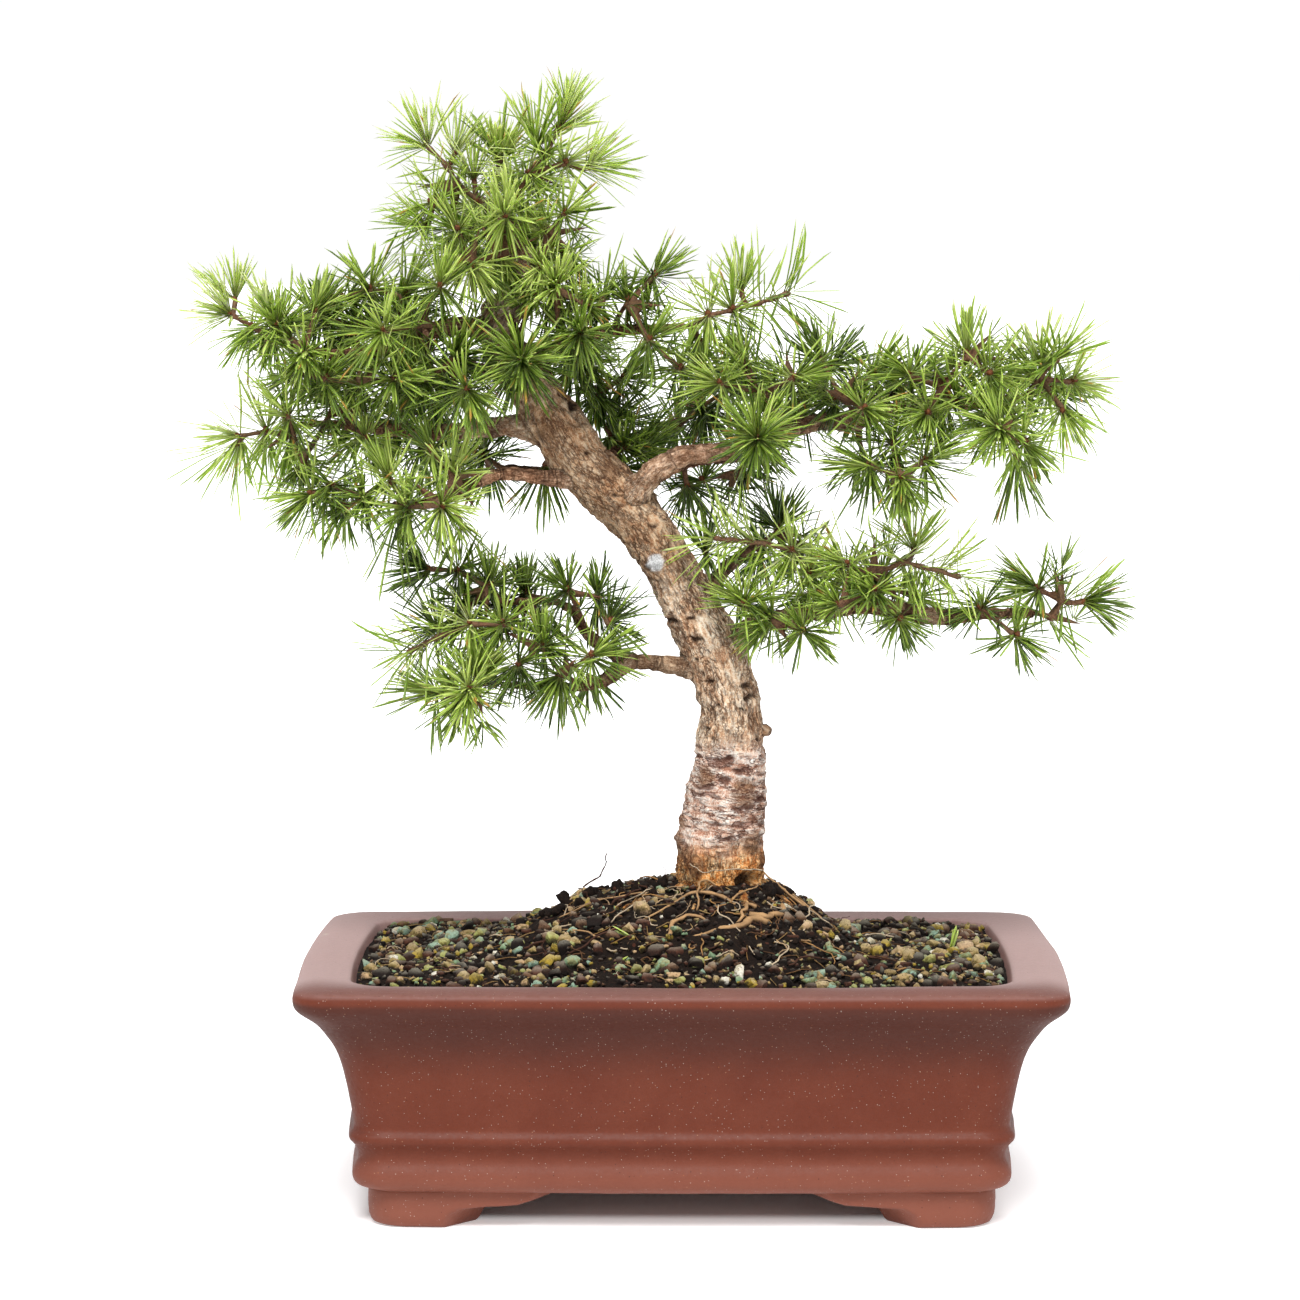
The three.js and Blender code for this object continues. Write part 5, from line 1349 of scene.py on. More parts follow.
FEEDERS = [  # bare roots on the mound: start and end radius, then x, y and rise over the soil
    (0.45, 0.9, [[-17, -37, -0.4], [-9.1, -34, 0.5], [-0.8, -29.5, 1.2], [7.2, -25.5, 1.8], [17.6, -29, 0.9],
        [22, -31, -0.9]]),
    (0.6, 1.9, [[4, -48, -0.9], [16.6, -47, 0.5], [24.1, -44, 1], [30.8, -39.5, 0.4], [34, -35, -1.8]]),
    (1, 0.7, [[-6, -47, -1], [-4.5, -45, 0.6], [0.5, -39.5, 1.2], [7.1, -41, 0.8], [11, -40, -0.9]]),
    (0.6, 0.95, [[23, -42, -0.6], [24.6, -40, 1.2], [26.7, -34.5, 1.8], [30.1, -31.5, 0.8]]),
    (1.5, 1.1, [[29, -37, -0.4], [33, -35.5, 0.6], [36.3, -34.5, 0.4], [41, -31, 0.6], [43, -25, 1],
        [40, -19, -1.2]]),
    (0.36, 0.75, [[33.7, -8, 6.9], [37.8, -10, 4.6], [44, -11, 2.6], [48.2, -11, 1.4], [52.3, -10, 0.8],
        [57, -9, -0.8]]),
    (0.4, 0.6, [[34, -8, 3.4], [40.1, -9, 2.6], [45.7, -6, 2], [49.9, -8, 1.6], [60, -10, 0.6],
        [66, -8, -0.5]]),
    (0.3, 0.24, [[15, -36, 2.4], [16.3, -41, 2.2], [24.5, -48.5, 1.6], [29.7, -58.5, 0.6]]),
    (0.26, 0.38, [[38.1, -49, 0.8], [44.3, -49.5, 1.6], [41, -57, 1.4], [36.6, -65, 0.6]]),
    (0.32, 0.26, [[-27, -24, -0.2], [-25.5, -22.5, 0.8], [-20.5, -23, 1.2], [-14.2, -19.5, 2.2],
        [-10, -22, 1.2]]),
    (0.42, 0.5, [[6.2, -35, 0], [6.7, -33, 3], [7.2, -24, 4.2], [10.2, -20, 4], [14.4, -19.5, 2]]),
    (0.2, 0.24, [[3.6, -17.5, 10.5], [5.8, -19.4, 9.4], [9, -20.6, 7.6], [12.5, -21.4, 8.6],
        [16.1, -21.8, 8.9]]),
    (0.24, 0.34, [[16.1, -21.8, 8.9], [20, -21.6, 9.2], [24, -19.6, 9], [28.6, -16, 8.2], [33.7, -8, 6.9]]),
    (0.32, 0.36, [[-29.9, -35, 0.8], [-22, -31, 2.4], [-15, -27, 1.6]]),
    (0.3, 0.34, [[50, -35.5, 0.8], [53, -22, 3.6], [56.3, -8, 5.4]]),
    (0.4, 0.3, [[45, -35.5, 0.8], [45.8, -40, 1.2], [49, -42.5, 1.4], [54.1, -38, 0.6]]),
    (0.4, 0.3, [[-14, -20, 1], [-26, -18, 1.4], [-38.8, -16, 1.2], [-51.5, -17.5, 0.4]]),
    (0.4, 0.3, [[-33.9, -42.5, 0.6], [-44.7, -34, 1.2], [-53.3, -28, 0.3]]),
    (0.45, 0.3, [[20, -30, 0.4], [25, -27, 2.6], [30.5, -22, 3.4], [33, -18, 4]]),
    (0.22, 0.3, [[52, -12, 0.6], [55.5, -13, 2.2], [58.5, -13.5, 1.6], [61.5, -14, 2.4], [64, -13, 1.2]]),
    (1.2, 0.8, [[20, 22, 0.5], [26, 34, 1.2], [36, 44, 0.8], [48, 50, -0.6]]),
    (1.4, 0.9, [[-2, 18, 0.8], [-10, 30, 1.4], [-24, 38, 0.8], [-36, 50, -0.6]]),
    (0.7, 0.5, [[8, 22, 1], [6, 36, 1.8], [12, 50, 0.8], [8, 62, -0.4]]),
]
CLODS = [  # x, y, rise and size across: lumps of old humus and bark
    [-56, -8, 1.6, 7.5], [-52, -12, 2.4, 6], [-49, -3, 2.6, 8], [-43, -10, 2.2, 7], [-38, -4, 1.8, 8.5],
    [-33, -14, 1.2, 6.5], [-27, -6, 1.6, 8], [-20, -16, 1.6, 7], [-14, -8, 1.8, 8], [-12, -20, 1.2, 6],
    [-8, -12, 2.4, 6.5], [36, -18, 2, 7.5], [40, -12, 2.6, 7], [44, -6, 2.2, 6.5], [30, -22, 1.6, 6.5],
    [50, -16, 1.4, 6], [56, -6, 1, 6], [58, -20, 1.2, 5], [20, -34, 0.8, 6.5], [8, -32, 1, 7],
    [-4, -37, 0.8, 6], [26, -52, 0.8, 6.5], [46, -44, 0.8, 7], [-20, -52, 0.6, 6.5], [-46, -24, 0.8, 7],
    [-72, -26, 0.8, 6], [84, -6, 1.6, 6], [-6, 26, 1.2, 7], [30, 28, 1.2, 7.5], [52, 22, 1, 6.5],
    [-34, 22, 1.2, 7],
]
CLOD_DETAIL = 3
LARGE_GRAINS = 680
SMALL_GRAINS = 3500
HUMUS_CRUMBS = 1200
LOOSE_ROOTLETS = 210
FALLEN_NEEDLES = 230
STREWN_LENGTH = 134  # half the soil that loose things lie on
STREWN_DEPTH = 87
STREWN_CORNER = 16  # its corners: how far in they start, and how far out things lie there
STREWN_REACH = 14.5
TRUNK_CLEARANCE = 19.0
GRAIN_CUTS = 9
STRAND_STEPS = 14


def ground(x, y):
    """The height of the soil's own uneven surface."""
    flat = np.column_stack([x, y, np.zeros(len(x))])
    lie = 1.1 * lumps(flat, 11.0, 81) + 0.55 * lumps(flat, 4.6, 82)
    to_wall = np.minimum(RIM_HALF_LENGTH - np.abs(x), RIM_HALF_DEPTH - np.abs(y)) - MOUTH_INSET
    return soil_height(x, y) + lie - 1.6 * (1.0 - between(to_wall, 0.0, 9.0))


def ground_at(x, y):
    return float(ground(np.array([x]), np.array([y]))[0])


def build_bed(humus):
    """The soil that fills the pot, with its crumbly top."""
    rings = []
    for z, inset in ((25.4, 36.0), (29.5, 33.2), (63.0, 30.1), (91.0, 27.6), (97.0, 25.6)):
        rings.append((outline(inset, MOUTH_CORNER), z))
    edge = outline(MOUTH_INSET + 1.2, MOUTH_CORNER)
    middle = slit(edge)
    for share in np.linspace(0.0, 1.0, TOP_RINGS + 1):
        ring = edge * (1 - share) + middle * share
        flat = np.column_stack([ring, np.zeros(len(ring))])
        crumbs = 1.4 * lumps(flat, 3.6, 83) + 0.9 * lumps(flat, 2.2, 84)
        rings.append((ring, ground(ring[:, 0], ring[:, 1]) + crumbs * min(1.0, share * 12)))
    points, faces = stacked(closed_over(*rings[0], 3)[::-1] + rings)
    make_piece("soil_bed", new_mesh("soil bed", points, faces), humus, ["soil"])


def spots(count, chance, crowd):
    """Places on the soil; crowd gives the odds of keeping one at its distance from the trunk."""
    kept = []
    while len(kept) < count:
        x = chance.uniform(-STREWN_LENGTH, STREWN_LENGTH)
        y = chance.uniform(-STREWN_DEPTH, STREWN_DEPTH)
        past_x = max(abs(x) - (STREWN_LENGTH - STREWN_CORNER), 0)
        past_y = max(abs(y) - (STREWN_DEPTH - STREWN_CORNER), 0)
        out = math.hypot(x - MOUND_X, y)
        if past_x**2 + past_y**2 < STREWN_REACH**2 and out > TRUNK_CLEARANCE and chance.random() < crowd(out):
            kept.append((x, y))
    return np.array(kept)


def grains(places, sizes, kinds, shape, chance, sunk):
    """Angular grains: round bodies cut flat on many sides, half buried in the soil."""
    base, faces = shape
    count = len(places)
    bodies = np.broadcast_to(base, (count, *base.shape)).copy()
    bodies *= 1.0 + chance.uniform(-0.12, 0.12, (count, len(base), 1))
    for _ in range(GRAIN_CUTS):
        way = unit(chance.normal(0, 1, (count, 1, 3)))
        limit = chance.uniform(0.34, 0.76, (count, 1))
        over = np.sum(bodies * way, axis=2) - limit
        bodies -= way * np.clip(over, 0, None)[..., None]
    bodies *= chance.uniform(0.62, 1.14, (count, 1, 3)) * sizes[:, None, None] * 0.72
    turns = chance.normal(0, 1, (count, 4))
    turns /= np.linalg.norm(turns, axis=1, keepdims=True)
    w, x, y, z = turns.T
    matrix = np.array(
        [
            [1 - 2 * (y * y + z * z), 2 * (x * y - w * z), 2 * (x * z + w * y)],
            [2 * (x * y + w * z), 1 - 2 * (x * x + z * z), 2 * (y * z - w * x)],
            [2 * (x * z - w * y), 2 * (y * z + w * x), 1 - 2 * (x * x + y * y)],
        ]
    ).transpose(2, 0, 1)
    bodies = np.einsum("nij,nkj->nki", matrix, bodies)
    heights = ground(places[:, 0], places[:, 1]) + sizes * sunk
    bodies += np.column_stack([places, heights])[:, None]
    low = np.clip(0.62 - (bodies[..., 2] - heights[:, None]) / sizes[:, None], 0.0, 1.0)
    number = np.arange(count)[:, None, None] * len(base) + faces[None]
    return bodies.reshape(-1, 3), number.reshape(-1, 3), np.repeat(kinds, len(base)), low.ravel()


def build_grit(stone):
    """Grit and lava grains on the soil, the larger ones many-sided, the small ones simple."""
    chance = np.random.default_rng(17)
    large_places = spots(LARGE_GRAINS, chance, lambda out: 0.12 + 0.88 * between(out, 32.0, 76.0))
    large_sizes = chance.uniform(3.6, 7.0, len(large_places))
    large_sizes = large_sizes * chance.choice([1.1, 0.85], len(large_places))
    large_kinds = chance.random(len(large_places)) ** 1.1
    extra = np.array(STONES)
    places = np.vstack([large_places, extra[:, :2]])
    sizes = np.concatenate([large_sizes, extra[:, 2]])
    kinds = np.concatenate([large_kinds, extra[:, 3]])
    large = grains(places, sizes, kinds, BALL, chance, 0.1)
    places = spots(SMALL_GRAINS, chance, lambda out: 1.0)
    sizes = chance.uniform(1.6, 3.5, len(places))
    near_trunk = 1.0 - between(np.hypot(places[:, 0] - MOUND_X, places[:, 1]), 36.0, 78.0)
    kinds = chance.random(len(places)) ** (1.3 + 0.8 * near_trunk)
    fine = grains(places, sizes, kinds, SMALL_BALL, chance, 0.16)
    places = spots(HUMUS_CRUMBS, chance, lambda out: 1.0 - 0.75 * between(out, 40.0, 80.0))
    sizes = chance.uniform(1.4, 3.6, len(places))
    kinds = chance.uniform(0.0, 0.2, len(places))
    crumbs = grains(places, sizes, kinds, SMALL_BALL, chance, 0.22)
    sets = (large, fine, crumbs)
    points, faces, _ = together([made[:2] for made in sets])
    marks = {name: np.concatenate([made[part] for made in sets]) for part, name in ((2, "kind"), (3, "low"))}
    make_piece("grit", new_mesh("grit", points, faces), stone, marks=marks, smooth=False)


def build_clods(humus):
    """Rough lumps of humus and rotted bark that stand up from the mound."""
    chance = np.random.default_rng(41)
    base, faces = ball(CLOD_DETAIL)
    parts = []
    for x, y, rise, across in CLODS:
        shape = base * chance.uniform(0.45, 1.15, 3) * across / 2
        shape = shape * (1.0 + 0.55 * rough(shape + x * 3.1, across * 0.36, 3, 88))[:, None]
        turn = chance.uniform(0, 2 * math.pi)
        cosine, sine = math.cos(turn), math.sin(turn)
        turned = np.array([[cosine, -sine, 0], [sine, cosine, 0], [0, 0, 1]])
        height = ground_at(x, y) + rise - 0.5
        parts.append((shape @ turned.T + np.array([x, y, height]), faces))
    points, faces, _ = together(parts)
    make_piece("humus_clods", new_mesh("clods", points, faces), humus)


def strand_on_soil(start, turn, reach, radius, chance, curl, rise):
    """A thin strand that wanders over the soil."""
    rows = []
    x, y = start
    step = reach / STRAND_STEPS
    for index in range(STRAND_STEPS + 1):
        lift = rise * math.sin(math.pi * index / STRAND_STEPS) + 0.3
        thinner = 1.0 - 0.55 * index / STRAND_STEPS
        rows.append([x, y, ground_at(x, y) + lift + radius * 0.6, radius * thinner])
        turn += chance.normal(0, curl)
        x += math.cos(turn) * step
        y += math.sin(turn) * step
    return np.array(rows)


def lay_strands(name, strands, tints, finish):
    """One piece of many thin strands, each with its own tint."""
    points, faces, owners = together(strands)
    marks = {"tint": np.array(tints)[owners]}
    make_piece(name, new_mesh(name, points, faces), finish, marks=marks)


def on_soil(rows):
    """Whether a strand stays clear of the pot's wall."""
    x, y = np.abs(rows[:, :2]).T
    return (x < STREWN_LENGTH - 3).all() and (y < STREWN_DEPTH - 3).all()


def build_rootlets(root_bark, chance):
    """Fine rootlets strewn over the soil, and the bare roots and twiglets on the mound."""
    strands, tints = [], []
    for x, y in spots(LOOSE_ROOTLETS, chance, lambda out: 1.0 - 0.85 * between(out, 36.0, 84.0)):
        away = math.atan2(y, x - MOUND_X)
        radius = chance.uniform(0.2, 0.46)
        turn = away + chance.normal(0, 1.1)
        reach, rise = chance.uniform(8, 26), chance.uniform(0.2, 2.4)
        rows = strand_on_soil((x, y), turn, reach, radius, chance, 0.5, rise)
        if on_soil(rows):
            strands.append(tube(rows, 4))
            tints.append(chance.choice([0.0, 0.1, 0.5, 0.75, 1.0]))
    for table, tint in ((FEEDERS, 0.6), (TWIGLETS, 0.0)):
        for first, last, rows in table:
            line = smooth_rows([[x, y, rise, 0.0] for x, y, rise in rows], 1.6)
            share = np.linspace(0, 1, len(line))
            wave = 0.5 if first < 0.5 else 0.8
            wander = np.column_stack([np.sin(share * 17 + rows[0][0]), np.cos(share * 13 + rows[0][1])])
            flat = line[:, :2] + wave * wander
            height = soil_height(flat[:, 0], flat[:, 1]) + line[:, 2] + 0.4
            radius = first + (last - first) * between(share, 0.0, 1.0)
            radius = radius * (1.0 + 0.16 * np.sin(share * 40 + first * 9))
            strands.append(tube(np.column_stack([flat, height, radius]), 8))
            tints.append(tint + (0.0 if tint == 0.0 else 0.4 * (first < 0.35)))
    lay_strands("rootlets", strands, tints, root_bark)


def build_straws(straw, chance):
    """Dry fallen needles on the soil."""
    straws, tints = [], []
    for x, y in spots(FALLEN_NEEDLES, chance, lambda out: 0.7):
        turn = chance.uniform(0, 2 * math.pi)
        rows = strand_on_soil((x, y), turn, chance.uniform(7, 17), 0.34, chance, 0.08, 0.9)
        if on_soil(rows):
            straws.append(tube(rows[::3], 3))
            tints.append(chance.random())
    lay_strands("fallen_needles", straws, tints, straw)


def build_blades(leaf, chance):
    """A few green blades that come up through the grit."""
    blades = []
    for x0, y0, x1, y1, rise in BLADES:
        foot = np.array([x0, y0, ground_at(x0, y0) - 0.5])
        tip = np.array([x1, y1, foot[2] + rise])
        for turn in (-0.35, 0.0, 0.4):
            lean = np.array([math.cos(turn * 3), math.sin(turn * 3), 0.0]) * turn * 7
            blades.append((foot, tip + lean - np.array([0, 0, abs(turn) * 6])))
    roots, tips = np.array(blades).transpose(1, 0, 2)
    points, faces, marks = needle_mesh(roots, tips, roots - np.array([0, 0, 5.0]), 1.3, 0.6, chance)
    make_piece("soil_blades", new_mesh("blades", points, faces), leaf, marks=marks)


# ---- finishes


def make_needle_finish(name, dark, low, high, bright, foot):
    """Waxy leaf: each needle its own green, with painted light and shade in its tone, a paler foot and
    midline, a few withered tips.
    """
    material, tree, shader = new_material(
        name,
        Roughness=0.45,
        Specular_IOR_Level=0.2,
        Subsurface_Weight=0.5,
        Subsurface_Radius=(0.7, 1.0, 0.3),
        Subsurface_Scale=0.0012,
    )
    along = mark(tree, "along")
    patch, fine, _ = mottle(tree, 45.0, 900.0)
    # the tone mark carries painted light and shade
    tone = times(tree, patch, 0.3, sum_up(tree, "SUBTRACT", mark(tree, "tone"), 0.15))
    green = ramp(tree, tone, [(0.0, dark), (0.38, low), (0.7, high), (1.0, bright)])
    green = laid_over(tree, green, (opposite(tree, stretch(tree, along, 0.0, 0.22)), 0.55, foot))
    midline = stretch(tree, mark(tree, "ridge"), 0.45, 0.95)
    green = laid_over(tree, green, (midline, 0.35, mix_colours(tree, 0.5, green, "#c3d29a")))
    tip = stretch(tree, along, 0.55, 0.85)
    green = laid_over(tree, green, (mark(tree, "withered"), tip, "#b9883f"), (fine, 0.12, "#36431c"))
    tree.links.new(green, shader.inputs["Base Color"])
    return material


TRUNK_LIFT = 1.3
OCHRE_LIFT = 1.4
HIGH_WOOD = (0.243, 0.275)  # metres up where the trunk goes darker and the thin limbs get painted light
RUST_RISE = (0.128, 0.148)  # metres up where the ochre foot turns rusty


def make_bark_finish():
    """Flaking bark: pale tan flakes over orange-brown, an ochre foot and a chalky banded stretch above it."""
    material, tree, shader = new_material("larch bark", Roughness=0.88, Specular_IOR_Level=0.2)
    where = add(tree, "Attribute", attribute_name="lengthwise").outputs["Vector"]
    drawn = add(tree, "Mapping", {"Vector": where, "Scale": (1.0, 1.0, 0.4)}).outputs["Vector"]
    layered = add(tree, "Mapping", {"Vector": where, "Scale": (0.5, 0.5, 1.7)}).outputs["Vector"]
    broad, _, relief = mottle(tree, 80.0, 900.0, where)
    patch, flake, flake_relief = mottle(tree, 210.0, 860.0, drawn)
    _, grain, grain_relief = mottle(tree, 300.0, 1500.0, where)
    _, streak, streak_relief = mottle(tree, 120.0, 380.0, layered)
    crack = wrinkles(tree, 460.0, 0.06, drawn)
    fissure = wrinkles(tree, 880.0, 0.11, drawn)
    cell_line = wrinkles(tree, 720.0, 0.09, where)
    fold = wrinkles(tree, 460.0, 0.07, layered)
    ring = wrinkles(tree, 230.0, 0.15, layered)
    banded, base, thick = mark(tree, "banded"), mark(tree, "base"), mark(tree, "thick")

    plate = times(tree, broad, 0.14, times(tree, mark(tree, "plate"), 0.18))
    plate = times(tree, patch, 0.12, plate)
    plate = times(tree, flake, 0.34, times(tree, grain, 0.28, plate))
    tans = [(0.25, "#b08260"), (0.42, "#d8b08c"), (0.58, "#f0d3b3"), (0.8, "#fff0da")]
    upper = ramp(tree, plate, tans, lift=TRUNK_LIFT)
    height_up = split(tree, place(tree))["Z"]
    high = stretch(tree, height_up, *HIGH_WOOD)
    stout = stretch(tree, thick, 0.4, 0.85)
    upper = mix_colours(tree, times(tree, high, stout), upper, (0.66, 0.58, 0.5, 1.0), "MULTIPLY")
    limb = ramp(tree, plate, [(0.25, "#533623"), (0.5, "#946e4f"), (0.8, "#d6b088")])
    # painted light on the thin limbs high in the crown, against the crown's shade
    painted_light_high_limb = times(tree, high, opposite(tree, stout))
    limb = mix_colours(tree, painted_light_high_limb, limb, (1.6, 1.42, 1.5, 1.0), "MULTIPLY")
    colour = mix_colours(tree, stretch(tree, thick, 0.05, 0.6), limb, upper)

    layer = times(tree, grain, 0.3, times(tree, mark(tree, "crest"), 0.32))
    chalks = [(0.28, "#b28067"), (0.42, "#d8b099"), (0.56, "#eed4c2"), (0.78, paint("#fff8ee", 1.25))]
    band = ramp(tree, times(tree, streak, 0.4, layer), chalks, lift=TRUNK_LIFT)
    colour = mix_colours(tree, banded, colour, band)
    ochres = [(0.28, "#b4662a"), (0.42, "#e39a50"), (0.58, "#f8bf7c"), (0.8, "#ffe8b4")]
    ochre = ramp(tree, plate, ochres, lift=OCHRE_LIFT)
    rust = times(tree, stretch(tree, height_up, *RUST_RISE), 0.8)
    ochre = mix_colours(tree, rust, ochre, (0.96, 0.76, 0.68, 1.0), "MULTIPLY")
    colour = mix_colours(tree, base, colour, ochre)

    knobby = mix_colours(tree, grain, "#6a462c", "#bb8f68")
    colour = laid_over(tree, colour, (mark(tree, "lump"), 0.75, knobby))
    seam = times(tree, fissure, 0.9, crack, clamp=True)
    seam = times(tree, seam, times(tree, thick, 0.5, 0.3))
    seam = times(tree, seam, times(tree, banded, -0.6, 1.0))
    colour = mix_colours(tree, seam, colour, "#5d3d2a")
    celled = times(tree, cell_line, times(tree, base, 0.65))
    colour = mix_colours(tree, celled, colour, "#5c3214")
    ringed = times(tree, ring, opposite(tree, thick))
    folded = times(tree, fold, times(tree, banded, 0.85, 0.12, clamp=True))
    folded = times(tree, ringed, 0.9, folded, clamp=True)
    colour = mix_colours(tree, folded, colour, mix_colours(tree, banded, "#3f2618", "#75493a"))
    dark_spot, _ = specks(tree, 430.0, 0.24, 0.09, where)
    colour = laid_over(tree, colour, (dark_spot, 0.65, "#4f3223"))

    sunk = mix_colours(tree, banded, "#553727", mix_colours(tree, grain, "#7d5142", "#b08372"))
    hollow = mark(tree, "hollow")
    colour = laid_over(tree, colour, (hollow, 0.72, sunk))
    brink = sum_up(tree, "SUBTRACT", 0.5, sum_up(tree, "ABSOLUTE", sum_up(tree, "SUBTRACT", hollow, 0.5)))
    brink = times(tree, stretch(tree, brink, 0.05, 0.4), 0.6)
    inside = mix_colours(tree, grain, "#0d0603", "#4a2e1c")
    inside = laid_over(tree, inside, (banded, 0.8, "#84594a"))
    colour = laid_over(tree, colour, (brink, banded, "#4e2f26"), (mark(tree, "scar"), 0.9, inside))
    colour = mix_colours(tree, mark(tree, "resin"), colour, mix_colours(tree, grain, "#b9b9b8", "#ffffff"))
    # painted shade on the limbs at the back of the crown
    shade = mix_colours(tree, grain, "#35251a", "#4d3a2a")
    colour = laid_over(tree, colour, (mark(tree, "painted_shade_behind"), 0.6, shade))

    height = sum_up(tree, "ADD", times(tree, grain_relief, 0.7, relief), streak_relief)
    height = times(tree, flake_relief, 1.4, height)
    height = times(tree, seam, -1.0, times(tree, folded, -0.8, height))
    height = times(tree, celled, -0.8, height)
    give_finish(tree, shader, colour, height, 0.0008, 1.0)
    return material


def make_twig_finish():
    """Knobbly red-brown twig and the darker round buds on it."""
    material, tree, shader = new_material("larch twig", Roughness=0.7, Specular_IOR_Level=0.3)
    broad, fine, relief = mottle(tree, 120.0, 1200.0)
    twig = mix_colours(tree, fine, "#4d2f20", "#946647")
    twig = laid_over(tree, twig, (broad, 0.3, "#7d7350"))
    scale = mix_colours(tree, fine, "#4f2815", "#95592b")
    colour = mix_colours(tree, mark(tree, "bud"), twig, scale)
    give_finish(tree, shader, colour, relief, 0.0004, 0.7)
    return material


LIP_RISE = (0.084, 0.096)  # metres up where the lip starts
LIP_FRONT = (-0.107, -0.07)  # metres forward where the painted sheen on the lip is weaker
UNDER_LIP = (0.06, 0.086)  # metres up where the lip's painted shadow lies on the wall
FOOT_LIGHT_RISE = (0.014, 0.036)  # metres up where the painted light towards the foot ends


def make_stoneware_finish():
    """Matt red-brown stoneware: its lip glossier on top with a painted grey sheen, a painted shadow under the
    lip, painted light towards the foot, and fine sand specks all over.
    """
    material, tree, shader = new_material("stoneware", Specular_IOR_Level=0.22)
    where = place(tree)
    broad, fine, relief = mottle(tree, 22.0, 520.0, where)
    patch, grit_patch, _ = mottle(tree, 70.0, 1600.0, where)
    colour = mix_colours(tree, broad, "#692b15", "#6e2f18")
    colour = laid_over(tree, colour, (patch, 0.14, "#8a4a35"), (grit_patch, 0.25, "#572a1b"))
    facing = facing_up(tree)
    spot = split(tree, where)
    upward = stretch(tree, facing, 0.15, 0.95)
    on_lip = times(tree, stretch(tree, spot["Z"], *LIP_RISE), 0.94, 0.06)
    inner = times(tree, stretch(tree, spot["Y"], *LIP_FRONT), 0.74, 0.24)
    # painted sheen: upward faces of the lip made paler and greyer
    painted_lip_sheen = times(tree, times(tree, upward, on_lip), inner)
    # painted shadow on the downward faces under the lip
    painted_lip_shadow = times(tree, stretch(tree, spot["Z"], *UNDER_LIP), stretch(tree, facing, 0.05, -0.25))
    # painted light: the feet and lower belt made paler, as if lit from the bright floor
    painted_foot_light = opposite(tree, stretch(tree, spot["Z"], *FOOT_LIGHT_RISE))
    pale, tint = specks(tree, 700.0, 0.18, 0.12, where)
    sand = ramp(tree, tint, [(0.0, "#c0906f"), (0.5, "#d9c3b4"), (0.8, "#b06a3a")], "CONSTANT")
    tiny, _ = specks(tree, 1100.0, 0.22, 0.1, where)
    dark, _ = specks(tree, 520.0, 0.17, 0.1, where)
    colour = laid_over(
        tree,
        colour,
        (painted_lip_sheen, times(tree, fine, 0.2, 0.68), "#d6b6b1"),
        (painted_lip_shadow, 0.66, "#3f1d14"),
        (painted_foot_light, 0.36, "#ae6f5c"),
        (pale, 0.5, sand),
        (tiny, 0.4, "#e6d8cd"),
        (dark, 0.6, "#3d201a"),
    )
    colour = mix_colours(tree, mark(tree, "chip"), colour, "#d8c6b8")
    roughness = times(tree, upward, -0.14, times(tree, fine, 0.12, 0.56))
    tree.links.new(roughness, shader.inputs["Roughness"])
    give_finish(tree, shader, colour, relief, 0.00035, 0.55)
    return material


def make_soil_finish():
    """Dark fibrous humus with paler crumbs."""
    material, tree, shader = new_material("humus", Roughness=0.95, Specular_IOR_Level=0.2)
    where = place(tree)
    broad, fine, relief = mottle(tree, 160.0, 900.0, where)
    crumb, tint = specks(tree, 330.0, 0.32, 0.2, where)
    crumbs = [(0.0, "#75603f"), (0.3, "#5a3325"), (0.62, "#85753f"), (0.85, "#a08f70")]
    crumb_colour = ramp(tree, tint, crumbs, "CONSTANT")
    colour = mix_colours(tree, fine, "#0b0604", "#2c1d13")
    colour = laid_over(tree, colour, (broad, 0.5, "#1a100a"), (crumb, 0.75, crumb_colour))
    give_finish(tree, shader, colour, times(tree, crumb, 0.8, relief), 0.0012, 0.9)
    return material


GRAIN_COLOURS = [  # kind, colour
    (0.0, "#1e110b"),
    (0.15, "#3c2115"),
    (0.27, "#5d3423"),
    (0.37, "#7d5a40"),
    (0.46, "#c4a670"),
    (0.57, "#c4a63c"),
    (0.63, "#b9bb6c"),
    (0.7, "#8fae86"),
    (0.78, "#dcb688"),
    (0.86, "#523a29"),
    (0.91, "#a0bfa6"),
    (0.96, "#fff8e4"),
]


def make_grit_finish():
    """Porous grains of several stones, each grain one kind, dusted with soil and painted shade towards its
    foot, with a painted highlight on its top.
    """
    material, tree, shader = new_material("grit", Roughness=0.92, Specular_IOR_Level=0.25)
    where = place(tree)
    broad, fine, relief = mottle(tree, 330.0, 1500.0, where)
    kind, low = mark(tree, "kind"), mark(tree, "low")
    colour = ramp(tree, kind, GRAIN_COLOURS, "CONSTANT")
    stain = times(tree, stretch(tree, kind, 0.44, 0.47), stretch(tree, broad, 0.46, 0.62))
    colour = laid_over(tree, colour, (stain, 0.5, "#ab9440"))
    # painted highlight on the upper part of each grain
    top = opposite(tree, stretch(tree, low, 0.0, 0.45))
    colour = laid_over(tree, colour, (top, 0.4, mix_colours(tree, 0.6, colour, "#fbf3da")))
    colour = laid_over(tree, colour, (fine, 0.55, mix_colours(tree, 0.6, colour, "#22140c")))
    pore, _ = specks(tree, 900.0, 0.33, 0.35, where)
    # soil dust and painted shade towards each grain's foot
    dust_and_painted_shade = stretch(tree, times(tree, broad, 0.3, low), 0.42, 0.88)
    colour = laid_over(tree, colour, (pore, 0.5, "#2b1b13"), (dust_and_painted_shade, 0.95, "#140b06"))
    give_finish(tree, shader, colour, relief, 0.0006, 0.8)
    return material


